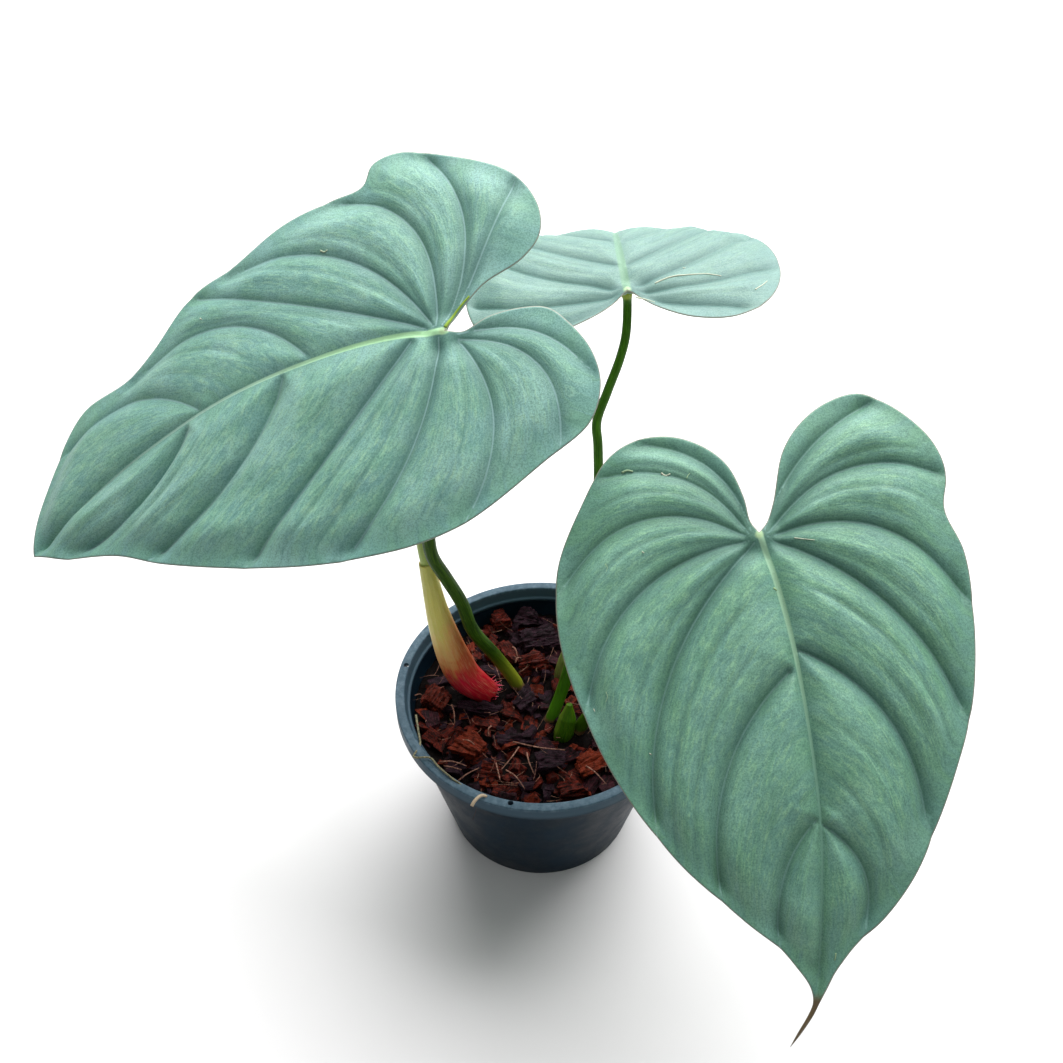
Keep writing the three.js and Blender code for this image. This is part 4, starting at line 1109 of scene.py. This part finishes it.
def sheath(material):
    """Fleshy sheath of the new shoot, with a ragged foot."""
    steps = SHEATH.steps
    line, sideways, up, ahead, arc = course(SHEATH.axis, steps)
    share = np.linspace(0.0, 1.0, SHEATH.arc_steps + 1)
    first = SHEATH.opening + (360.0 - SHEATH.wrap) / 2
    angles = np.radians(first + SHEATH.wrap * share)
    rings = sheath_wall(line, sideways, up, share, angles)
    tears = np.random.default_rng(SHEATH.seed).uniform(*SHEATH.tear_depth, SHEATH.tears)
    ragged = np.interp(share, np.linspace(0, 1, SHEATH.tears), tears)
    ragged = np.concatenate([ragged, ragged[::-1]])
    fade = 1 - ease(arc / SHEATH.tear_length)
    rings = rings - fade[:, None, None] * ragged[None, :, None] * ahead[:, None, :]
    angles = np.concatenate([angles, angles[::-1]])
    sides = len(angles)
    from_edge = np.tile(np.minimum(share, 1 - share), 2)
    dry_edge = np.outer(arc > SHEATH.dry_edge_from, 1 - ease(from_edge / SHEATH.dry_edge))
    dry_length = SHEATH.dry_top_length
    dry_top = SHEATH.dry_top * ease((arc - arc[-1] + dry_length) / dry_length)
    marks = {
        "skin": skin_mark(angles, arc),
        "rise": ring_mark(arc, sides),
        "flank": side_mark(ease(np.cos(angles) * SHEATH.flank_slope - SHEATH.flank_shift), steps),
        "edge": np.append(np.maximum(dry_edge, dry_top[:, None]).ravel(), [0.0, 1.0]),
    }
    return add_piece("shoot_sheath", loft(rings), material, ("cataphyll",), marks)


def fibre_material():
    paint = Paint("torn_fibres", roughness=0.5, specular=0.4)
    tone = paint.layer("d00430", "ec5474", paint.mark("out"), 0.1, 0.8)
    paint.set("Base Color", paint.layer(tone, "f0a8ac", paint.mark("out"), 0.8, 1.0))
    return paint.material


def strand_set(name, strands, sides, material):
    """Thin tapered strands in one piece: each a line, its radius at start and end, and its tone."""
    angles = full_turn(sides)
    bodies, outs, tones = [], [], []
    for line, thick, thin, tone in strands:
        sideways, up, _ = frames_along(line)
        radii = np.outer(np.linspace(thick, thin, len(line)), np.ones(sides))
        bodies.append(loft(ring_points(line, sideways, up, radii, angles)))
        outs.append(ring_mark(np.linspace(0.0, 1.0, len(line)), sides))
        tones.append(np.full(len(outs[-1]), tone))
    marks = {"out": np.concatenate(outs), "tone": np.concatenate(tones)}
    return add_piece(name, joined(bodies), material, marks=marks)


def bent_strand(start, direction, bend, length, steps):
    """Line of a strand that sets out one way and bends away from it."""
    t = np.linspace(0.0, 1.0, steps)[:, None]
    return start + length * (t * direction + t * t * bend)


def torn_fibres(material):
    """Pale torn strands that stick out all round the sheath's foot."""
    random = np.random.default_rng(TORN.seed)
    line, sideways, up, ahead, _ = course(SHEATH.axis, TORN.axis_steps)
    strands = []
    for _ in range(TORN.count):
        angle = random.uniform(0.0, 2 * math.pi)
        out = math.cos(angle) * sideways[0] + math.sin(angle) * up[0]
        start = line[0] + SHEATH.radius[0] * random.uniform(*TORN.from_axis) * out
        start = start + ahead[0] * random.uniform(*TORN.along)
        direction = random.uniform(*TORN.out) * out - TORN.down * ahead[0] + np.array(TORN.lean)
        direction = unit(direction + TORN.wild * random.standard_normal(3))
        bend = TORN.bend * random.standard_normal(3)
        strand = bent_strand(start, direction, bend, random.uniform(*TORN.length), TORN.steps)
        strands.append((strand, random.uniform(*TORN.radius), TORN.end_radius, 0.0))
    return strand_set("shoot_torn_fibres", strands, TORN.sides, material)


def young_leaf_material(name, low, high):
    paint = Paint(name, roughness=0.4, specular=0.45)
    streaks = paint.noise(paint.mark_vector("skin", (2.5, 0.03, 2.5)), 3.0, 4.0, 0.6)
    tone = paint.layer(low, high, paint.mark("rise"), 0.1, 0.9)
    tone = paint.layer(tone, "b9c274", streaks, 0.35, 0.75, 0.0, 0.4)
    paint.set("Base Color", tone)
    paint.set("Normal", paint.bump(streaks, 0.3, 0.4))
    return paint.material


def spear(material):
    """New leaf rolled round itself: the outer edge stands proud along a slow spiral."""
    steps, sides = SPEAR.steps, SPEAR.sides
    line, sideways, up, _, arc = course(SPEAR.axis, steps)
    angles = full_turn(sides)
    past_seam = (angles - arc[:, None] / SPEAR.seam_turn) % (2 * math.pi) / (2 * math.pi)
    seam = 1 - SPEAR.seam_step * (1 - past_seam ** SPEAR.seam_power)
    radii = profile_along(SPEAR.radius, steps)[:, None] * seam
    body = loft(ring_points(line, sideways, up, radii, angles))
    marks = {"skin": skin_mark(angles, arc), "rise": ring_mark(np.linspace(0, 1, steps), sides)}
    return add_piece("rolled_new_leaf", body, material, ("new_leaf_spear",), marks)


def remnant(name, piece_name, material):
    """Short pointed sheath, slightly oval, with a groove up one side and a painted highlight down
    another.
    """
    steps, sides = REMNANT.steps, REMNANT.sides
    line, sideways, up, _, arc = course(REMNANTS[name]["axis"], steps)
    angles = full_turn(sides)
    from_groove = (angles - REMNANT.groove_at) / REMNANT.groove_width
    groove = REMNANT.groove * np.exp(-from_groove ** 2)
    radii = np.outer(profile_along(REMNANTS[name]["radius"], steps),
                     1 + REMNANT.oval * np.cos(2 * angles) - groove)
    body = loft(ring_points(line, sideways, up, radii, angles))
    # Painted highlight down one side, passed in the collar mark, which the green sheath's skin reads.
    pale = REMNANT.pale_side * ease((-np.cos(angles) - REMNANT.pale_from) / REMNANT.pale_fade)
    marks = {
        "skin": REMNANT.grain * skin_mark(angles, arc),
        "rise": ring_mark(np.linspace(0, 1, steps), sides),
        "foot": np.zeros(len(body[0])),
        "scar": np.zeros(len(body[0])),
        "collar": side_mark(pale, steps),
    }
    return add_piece(piece_name, body, material, (name,), marks)


# Pot

def rounded(profile, radius):
    """The profile with each inner corner turned into a small arc, at most ARC_SHARE of each side."""
    points = [np.array(p, float) for p in profile]
    result = [points[0]]
    for before, corner, after in zip(points, points[1:], points[2:]):
        back, on = before - corner, after - corner
        start = corner + back * min(radius / np.linalg.norm(back), ARC_SHARE)
        end = corner + on * min(radius / np.linalg.norm(on), ARC_SHARE)
        for t in np.linspace(0.0, 1.0, ARC_STEPS + 1):
            result.append((1 - t) ** 2 * start + 2 * t * (1 - t) * corner + t * t * end)
    return result + [points[-1]]


def wall_outer(z):
    slope = (POT.shoulder_radius - POT.base_radius) / (POT.height - POT.lip_height)
    return POT.base_radius + slope * z


def wall_inner(z):
    return wall_outer(z) - POT.wall


def pot_profile():
    """Section of the pot from the middle of its base, up outside, over the lip and down inside."""
    top, rim = POT.height, POT.rim_radius
    lip_under = top - POT.lip_thickness
    skirt_foot = top - POT.lip_height
    skirt_inner = rim - POT.skirt_thickness
    bead_foot, bead_top = skirt_foot - POT.bead_foot, skirt_foot - POT.bead_top
    step_top = top - POT.step_drop
    step_foot = step_top - POT.step_height
    step = POT.step_width
    return [
        (0.0, 0.0),
        (wall_outer(0.0), 0.0),
        (wall_outer(bead_foot), bead_foot),
        (wall_outer(bead_top) + POT.bead_out, bead_top),
        (wall_outer(skirt_foot), skirt_foot),
        (wall_outer(lip_under), lip_under),
        (skirt_inner, lip_under),
        (skirt_inner, skirt_foot),
        (rim, skirt_foot),
        (rim, top),
        (wall_inner(top), top),
        (wall_inner(step_top), step_top),
        (wall_inner(step_top) - step, step_top),
        (wall_inner(step_foot) - step, step_foot),
        (wall_inner(step_foot - step), step_foot - step),
        (wall_inner(POT.floor), POT.floor),
        (0.0, POT.floor),
    ]


def turned(radii, heights, sides):
    """Rings round the Z axis."""
    angles = full_turn(sides)
    x, y = np.outer(radii, np.cos(angles)), np.outer(radii, np.sin(angles))
    return np.stack([x, y, np.repeat(np.array(heights)[:, None], sides, axis=1)], -1)


def drill(piece, holes, low, high):
    """Cuts a circle of round holes through a piece, from one height to another."""
    for k in range(holes["count"]):
        bearing = math.radians(holes["first"] + 360.0 * k / holes["count"])
        centre = holes["circle"] * np.array([math.cos(bearing), math.sin(bearing), 0.0])
        rings = turned([holes["radius"]] * 2, (low, high), DRILL.sides) + centre
        bit = new_object("drill_bit", new_mesh("drill_bit", *loft(rings)))
        cut = piece.modifiers.new("cut", "BOOLEAN")
        cut.operation = "DIFFERENCE"
        cut.solver = "EXACT"
        cut.object = bit
        graph = bpy.context.evaluated_depsgraph_get()
        cut_mesh = bpy.data.meshes.new_from_object(piece.evaluated_get(graph))
        piece.modifiers.clear()
        piece.data = cut_mesh
        bpy.data.objects.remove(bit)


def pot_material():
    """Slate plastic: fine moulded stipple, a lip painted lighter as lit over a wall left dark as painted
    shade under it, a rim top lighter by wear and painted highlight, dust and a few scuffs.
    """
    paint = Paint("slate_plastic", roughness=0.42, specular=0.08)
    height = paint.add("ShaderNodeSeparateXYZ", {"Vector": paint.place()}).outputs["Z"]
    clouds = paint.noise(paint.place(), 0.05, 4.0, 0.65)
    specks = paint.noise(paint.place(), 1.4, 3.0, 0.7)
    scuffs = paint.noise(paint.place((1.0, 1.0, 0.25)), 0.35, 5.0, 0.7)
    tone = paint.layer("081722", "102330", clouds, 0.35, 0.7)
    tone = paint.layer(tone, "3c4a54", specks, 0.62, 0.8, 0.0, 0.25)
    # Painted light: the lip and the top of the inside are lighter than the wall below, which stays dark
    # as painted shade under the lip.
    tone = paint.layer(tone, "3e5360", height, 87.5, 91.5, 0.0, 0.8)
    # Rim top lighter in patches: partly wear, partly painted highlight.
    worn = paint.times(paint.ramp(height, 94.0, 96.0), paint.ramp(scuffs, 0.3, 0.9))
    tone = paint.mix(paint.times(worn, 0.4), tone, "8296a6")
    paint.set("Base Color", tone)
    paint.set("Roughness", paint.ramp(clouds, 0.3, 0.7, 0.38, 0.55))
    paint.set("Normal", paint.bump(specks, 0.15, 0.4))
    return paint.material


def pot(material):
    """Nursery pot with its drain holes and the hanger holes in its lip."""
    radii, heights = np.array(rounded(pot_profile(), POT.rounding)[1:-1]).T
    body = loft(turned(radii, heights, POT.segments))
    piece = add_piece("nursery_pot", body, material, ("pot",))
    margin = DRILL.margin
    drill(piece, DRAIN, -margin, POT.floor + DRILL.floor_margin)
    drill(piece, HANGER, POT.height - POT.lip_thickness - margin, POT.height + margin)
    piece.data.shade_smooth()
    piece.data.set_sharp_from_angle(angle=math.radians(POT.sharp))
    return piece


# Husk chips and potting mix

def husk_material():
    """Coconut husk: fibrous streaks along each chip, from rust to dark plum, damp in places."""
    paint = Paint("coconut_husk", roughness=0.6, specular=0.12)
    fibres = paint.noise(paint.mark_vector("grain", (0.12, 1.0, 1.0)), 1.5, 5.0, 0.75)
    crumbs = paint.noise(paint.place(), 0.3, 5.0, 0.7)
    tone = paint.mark("tone")
    rust = paint.layer("0d0302", "6b1c0b", fibres, 0.38, 0.64)
    plum = paint.layer("070205", "331424", fibres, 0.38, 0.66)
    skin = paint.layer(rust, plum, tone, 0.35, 0.7)
    skin = paint.layer(skin, "8e3416", tone, 0.0, 0.14, 0.5, 0.0)
    skin = paint.layer(skin, "0a0303", crumbs, 0.46, 0.7, 0.0, 0.85)
    paint.set("Base Color", skin)
    paint.set("Roughness", paint.ramp(crumbs, 0.35, 0.65, 0.4, 0.85))
    relief = paint.bump(fibres, 1.5, 0.8)
    paint.set("Normal", paint.bump(crumbs, 2.2, 0.8, relief))
    return paint.material


def cube_shell(cuts):
    """Points and faces of a cube from -1 to 1 with each side cut into squares."""
    index, points, faces = {}, [], []

    def corner(point):
        key = tuple(np.round(point, 6))
        if key not in index:
            index[key] = len(points)
            points.append(key)
        return index[key]

    steps = np.linspace(-1.0, 1.0, cuts + 1)
    for axis in range(3):
        for sign in (-1.0, 1.0):
            for i in range(cuts):
                for j in range(cuts):
                    square = []
                    for a, b in ((i, j), (i + 1, j), (i + 1, j + 1), (i, j + 1)):
                        point = [0.0, 0.0, 0.0]
                        point[axis] = sign
                        point[(axis + 1) % 3] = steps[a]
                        point[(axis + 2) % 3] = steps[b]
                        square.append(corner(point))
                    faces.append(tuple(square if sign > 0 else square[::-1]))
    return np.array(points), faces


def chunk(shell, size, turn, tilt, at, random):
    """A piece of husk: a broken block with skewed corners, worn edges and ridges along its fibres."""
    points = shell * (1 - CHIP.worn * np.linalg.norm(shell, axis=1, keepdims=True) / math.sqrt(3))
    skew = random.uniform(-CHIP.skew, CHIP.skew, (3, 3))
    np.fill_diagonal(skew, 0.0)
    bulge = (shell[:, [1, 2, 0]] * shell[:, [2, 0, 1]]) @ skew
    points = points + CHIP.bulge_share * bulge + CHIP.shear_share * points @ skew
    local = points * np.array(size) / 2
    shift = random.uniform(0.0, 100.0, 3)
    splinters = np.abs(noise_at(local * np.array(CHIP.splinter_grain) - shift))
    rough = (CHIP.lump * noise_at(local * CHIP.lump_grain + shift)
             + CHIP.fibre * noise_at(local * np.array(CHIP.fibre_grain) + shift)
             - CHIP.splinter * splinters)
    local = local + unit(points) * rough[:, None] * min(size) * CHIP.relief
    turning = Matrix.Rotation(math.radians(turn), 3, "Z") @ Matrix.Rotation(math.radians(tilt), 3, "X")
    return local @ np.array(turning).T + np.array(at), local


def large_chips(material):
    """Loose chips on top, each in place of its solid."""
    shell, faces = cube_shell(CHIP.cuts)
    random = np.random.default_rng(MIX.seed)
    for i, chip in enumerate(LARGE_CHIPS, start=1):
        points, local = chunk(shell, chip["size"], chip["turn"], chip["tilt"], chip["at"], random)
        marks = {"grain": local + CHIP.grain_shift * i, "tone": np.full(len(points), chip["plum"])}
        add_piece(f"husk_piece_{i}", (points, faces), material, (f"husk_chip_{i}",), marks,
                  CHIP.sharp)


def small_chips(material):
    """Layer of smaller chips and crumbs over the mix, in one piece, with room for the stems."""
    coarse, fine = (cube_shell(cuts) for cuts in CRUMBS.cuts)
    random = np.random.default_rng(MIX.seed + 1)
    shortest, longest = CRUMBS.length
    bodies, grains, tones = [], [], []
    for i in range(CRUMBS.count):
        length = shortest + (longest - shortest) * random.random() ** CRUMBS.small_bias
        shares = CRUMBS.width, CRUMBS.height
        width, height = (length * random.uniform(*share) for share in shares)
        room = wall_inner(MIX.top) - 0.5 * length - CRUMBS.edge_gap
        radius = room * math.sqrt((i + 0.5) / CRUMBS.count)
        bearing = math.radians(CRUMBS.turn_step * i + CRUMBS.turn_play * random.random())
        x, y = radius * math.cos(bearing), radius * math.sin(bearing)
        turn, tilt = random.uniform(0, 360), random.uniform(-CRUMBS.tilt, CRUMBS.tilt)
        z = MIX.top + random.uniform(*CRUMBS.lift) - CRUMBS.sunk * height
        tone = random.choice(list(CRUMB_TONES), p=list(CRUMB_TONES.values()))
        gap = CRUMBS.stem_gap * length
        if any(math.hypot(x - stem_x, y - stem_y) < free + gap for stem_x, stem_y, free in STEMS):
            continue
        shell, faces = fine if length > CRUMBS.fine_from else coarse
        points, local = chunk(shell, (length, width, height), turn, tilt, (x, y, z), random)
        bodies.append((points, faces))
        grains.append(local + CRUMBS.grain_shift * i)
        tones.append(np.full(len(points), tone))
    marks = {"grain": np.vstack(grains), "tone": np.concatenate(tones)}
    return add_piece("husk_crumbs", joined(bodies), material, (), marks, CHIP.sharp)


def mix_material():
    paint = Paint("potting_mix_crumb", roughness=0.85, specular=0.1)
    crumbs = paint.noise(paint.place(), 0.4, 6.0, 0.7)
    fine = paint.noise(paint.place(), 1.6, 4.0, 0.7)
    # Near-black mix: partly the damp mix's own colour, partly painted shade in the gaps between the
    # chips.
    tone = paint.layer("030101", "100504", crumbs, 0.35, 0.7)
    tone = paint.layer(tone, "32120a", fine, 0.58, 0.75, 0.0, 0.5)
    paint.set("Base Color", tone)
    relief = paint.bump(crumbs, 1.6, 0.8)
    paint.set("Normal", paint.bump(fine, 0.5, 0.7, relief))
    return paint.material


def mix_bed(material):
    """Packed mix that fills the pot, with a lumpy top."""
    top, gap, count = MIX.top, MIX.clearance, MIX.rings
    layers = [(wall_inner(z) - gap, z) for z in (POT.floor + gap, 0.5 * top)]
    first_on_top = len(layers)
    layers += [((wall_inner(top) - gap) * (1 - k / count), top) for k in range(count)]
    rings = turned(*np.array(layers).T, MIX.sides)
    surface = rings[first_on_top:]
    x, y = surface[..., 0].ravel(), surface[..., 1].ravel()
    for height, grain, slice_at in MIX.lumps:
        lumps = noise_at(np.column_stack([x * grain, y * grain, np.full(len(x), slice_at)]))
        surface[..., 2] += height * lumps.reshape(surface.shape[:2])
    return add_piece("mix_bed", loft(rings), material, ("potting_mix",))


# Straws, stray fibres and the dry root over the lip

STRAWS = [
    [(-14.4, -27.8), (-0.7, -32.2), (11.8, -32.8)],
    [(-11.3, -30.9), (-20.1, -44.9)],
    [(-22.7, -40.7), (-20.5, -50.9)],
    [(-17.7, -44.9), (-12.7, -49.7), (-8.2, -56.2)],
    [(-7.3, -34.6), (-3.8, -47.3)],
    [(-51.1, -40.1), (-37.1, -42.5)],
    [(-48.5, -42.5), (-39.5, -44.9)],
    [(-41.2, -51.5), (-31.1, -43.7)],
    [(22.1, -42.5), (31.6, -53.2)],
    [(-39.7, -26.6), (-33.5, -29.7)],
    [(-15.2, 35.4), (-12.5, 28.3)],
    [(-13.6, 24.1), (-10.6, 27.6)],
    [(-65.8, 2.0), (-61.7, 2.0)],
    [(-25.7, -17.8), (-26.6, -24.1)],
    [(-46.2, -4.2), (-44.2, -16.5)],
]
STRAW = Settings(height=87.0, bow=1.2, play=0.8, radius=0.42, end_radius=0.252, steps=16, sides=6)
# Stray fibres that lie all over the chips.
LITTER = Settings(
    count=150, seed=31,
    circle=62.0, height=(82.0, 86.0),
    slope=(-0.15, 0.3), bend=0.35,
    length=(3.0, 11.0), radius=(0.1, 0.22), end_radius=0.07,
    steps=8,
)
# A long dry root over the lip, and a paler one that loops over it: knots, radius at start and end.
DRY_ROOTS = [
    {
        "knots": [(-64.4, -10.6, 86.5), (-62.2, -23.0, 89.5), (-60.4, -36.0, 94.5), (-62.6, -44.6, 97.3),
                  (-54.7, -45.1, 97.4), (-50.5, -50.0, 97.2), (-44.1, -56.2, 97.0),
                  (-35.7, -62.0, 95.0)],
        "radius": (0.6, 0.45),
        "tone": 0.5,
        "steps": 60,
    },
    {
        "knots": [(-33.4, -72.9, 97.2), (-31.8, -70.7, 98.6), (-29.0, -67.8, 98.4), (-26.7, -66.6, 96.0),
                  (-25.0, -64.6, 88.0)],
        "radius": (0.85, 0.6),
        "tone": 1.0,
        "steps": 30,
    },
]
DRY_ROOT_SIDES = 10


def straw_material():
    """Dry fibres: pinkish brown straws and grey-green roots."""
    paint = Paint("dry_straw", roughness=0.65, specular=0.2)
    streaks = paint.noise(paint.place(), 0.8, 4.0, 0.6)
    straw = paint.layer("583629", "9a7060", streaks, 0.35, 0.7)
    root = paint.layer("4c4c3c", "8c8468", streaks, 0.35, 0.7)
    tone = paint.mark("tone")
    skin = paint.layer(straw, root, tone, 0.1, 0.4)
    paint.set("Base Color", paint.layer(skin, "b09c84", tone, 0.6, 0.9))
    return paint.material


def long_straw(spots, random):
    """Line of a straw that bows up between the spots it lies on."""
    knots = np.array([(x, y, STRAW.height) for x, y in spots])
    knots[1:-1, 2] += STRAW.bow
    if len(knots) == 2:
        play = random.uniform(-STRAW.play, STRAW.play, 3)
        knots = np.insert(knots, 1, knots.mean(0) + play + (0, 0, STRAW.bow), axis=0)
    return evenly(dense_curve(knots), STRAW.steps)


def straws(material):
    """Long straws as in the photo, and finer litter between them."""
    random = np.random.default_rng(LITTER.seed)
    lines = [long_straw(spots, random) for spots in STRAWS]
    strands = [(line, STRAW.radius, STRAW.end_radius, 0.0) for line in lines]
    for _ in range(LITTER.count):
        bearing, radius = random.uniform(0, 2 * math.pi), LITTER.circle * math.sqrt(random.random())
        height = random.uniform(*LITTER.height)
        start = np.array([radius * math.cos(bearing), radius * math.sin(bearing), height])
        heading = random.uniform(0, 2 * math.pi)
        direction = np.array([math.cos(heading), math.sin(heading), random.uniform(*LITTER.slope)])
        bend = LITTER.bend * random.standard_normal(3)
        line = bent_strand(start, direction, bend, random.uniform(*LITTER.length), LITTER.steps)
        strands.append((line, random.uniform(*LITTER.radius), LITTER.end_radius, 0.0))
    return strand_set("straw_fibres", strands, STRAW.sides, material)


def dry_roots(material):
    strands = [(evenly(dense_curve(root["knots"]), root["steps"]), *root["radius"], root["tone"])
               for root in DRY_ROOTS]
    return strand_set("dry_roots", strands, DRY_ROOT_SIDES, material)


def rhizome_look():
    """The hidden creeping stem keeps its solid and gets a corky skin."""
    paint = Paint("corky_stem", roughness=0.8, specular=0.3)
    cork = paint.noise(paint.place(), 0.35, 5.0, 0.65)
    paint.set("Base Color", paint.layer("5a4526", "a08a58", cork, 0.35, 0.68))
    paint.set("Normal", paint.bump(cork, 0.6, 0.6))
    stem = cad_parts["rhizome_with_roots"]
    stem.data.materials.clear()
    stem.data.materials.append(paint.material)


# Stage

def floor():
    """Plain pale floor that the pot stands on."""
    far = FLOOR.reach
    corners = [(-far, -far, 0), (far, -far, 0), (far, far, 0), (-far, far, 0)]
    mesh = new_mesh("floor", corners, [(0, 1, 2, 3)])
    paint = Paint("pale_floor", roughness=0.9, specular=0.1)
    paint.set("Base Color", FLOOR.colour)
    mesh.materials.append(paint.material)
    new_object("floor", mesh)


def camera():
    """Camera of the photograph."""
    data = bpy.data.cameras.new("camera")
    data.lens = CAMERA.lens
    data.sensor_width = CAMERA.sensor
    data.clip_start = CAMERA.clip_start
    piece = new_object("camera", data)
    piece.location = CAMERA.place
    piece.rotation_euler = (math.radians(CAMERA.pitch), 0.0, 0.0)
    bpy.context.scene.camera = piece


def area_light(name, place, size, power):
    """A square light in metres and watts that faces the plant."""
    data = bpy.data.lights.new(name, "AREA")
    data.size = size
    data.energy = power
    piece = new_object(name, data)
    piece.location = place
    aim = Vector(LIGHT["aim"]) - Vector(place)
    piece.rotation_euler = aim.to_track_quat("-Z", "Y").to_euler()


def lights():
    world = bpy.data.worlds.new("studio")
    world.use_nodes = True
    sky = world.node_tree.nodes["Background"]
    sky.inputs["Color"].default_value = LIGHT["surround_colour"]
    sky.inputs["Strength"].default_value = LIGHT["surround"]
    bpy.context.scene.world = world
    for name in ("key", "fill"):
        area_light(name, **LIGHT[name])


# Colour codes of the blades and of the stalks.
SHADES = {
    "left": {
        "cool": "6c9991", "warm": "71a08a", "light": "97bcb7", "crest": "a0c49c", "dark": "345c54",
        "vein": "96b6b6", "vein_share": 0.45, "rib": "a4d2a0", "far_rib": "accebd", "far_share": 0.5,
    },
    "right": {
        "cool": "5e8a7c", "warm": "618f73", "light": "80ac9c", "crest": "8cb689", "dark": "2b4f45",
        "vein": "7ca09b", "vein_share": 0.35, "rib": "85a98b", "far_rib": "6c9783", "far_share": 0.5,
    },
    "back": {
        "cool": "5c7f7a", "warm": "628378", "light": "75968c", "crest": "75997a", "dark": "325752",
        "vein": "47716a", "vein_share": 0.6, "rib": "5c8268", "far_rib": "5c806d", "far_share": 0.9,
    },
}
STALK_SHADES = {
    "left": {"dark": "1a3302", "light": "385709", "foot": "747a1e", "speck": "5f6f1c"},
    "back": {"dark": "254a04", "light": "3f6e0c", "foot": "3f6e0c", "speck": "567a1e"},
    "right": {"dark": "1a3502", "light": "30580a", "foot": "3c5a0a", "speck": "5c6e1e"},
    "sheath": {"dark": "234a04", "light": "446206", "foot": "4c6608", "speck": "66701a"},
}


def build():
    """Every piece of the scene."""
    camera()
    scar_skin = scar_material()
    for side, slot in (("left", "leaf"), ("right", "leaf"), ("back", "leaf_pale")):
        blade(side, leaf_material(f"leaf_skin_{side}", SHADES[side]))
        scars(side, scar_skin)
    for side in PETIOLES:
        petiole(side, stalk_material(f"stalk_skin_{side}", STALK_SHADES[side]))
    sheath(sheath_material())
    torn_fibres(fibre_material())
    spear(young_leaf_material("rolled_leaf", "a9b058", "7d9a38"))
    green = stalk_material("green_sheath_skin", STALK_SHADES["sheath"])
    remnant("green_sheath", "green_sheath_fine", green)
    bud = young_leaf_material("side_bud_skin", "5c5f24", "6c7a34")
    remnant("side_bud_tip", "side_bud_fine", bud)
    pot(pot_material())
    husk = husk_material()
    large_chips(husk)
    small_chips(husk)
    mix_bed(mix_material())
    straw = straw_material()
    straws(straw)
    dry_roots(straw)
    rhizome_look()
    floor()
    lights()


bpy.context.scene.view_settings.view_transform = "Standard"
build()
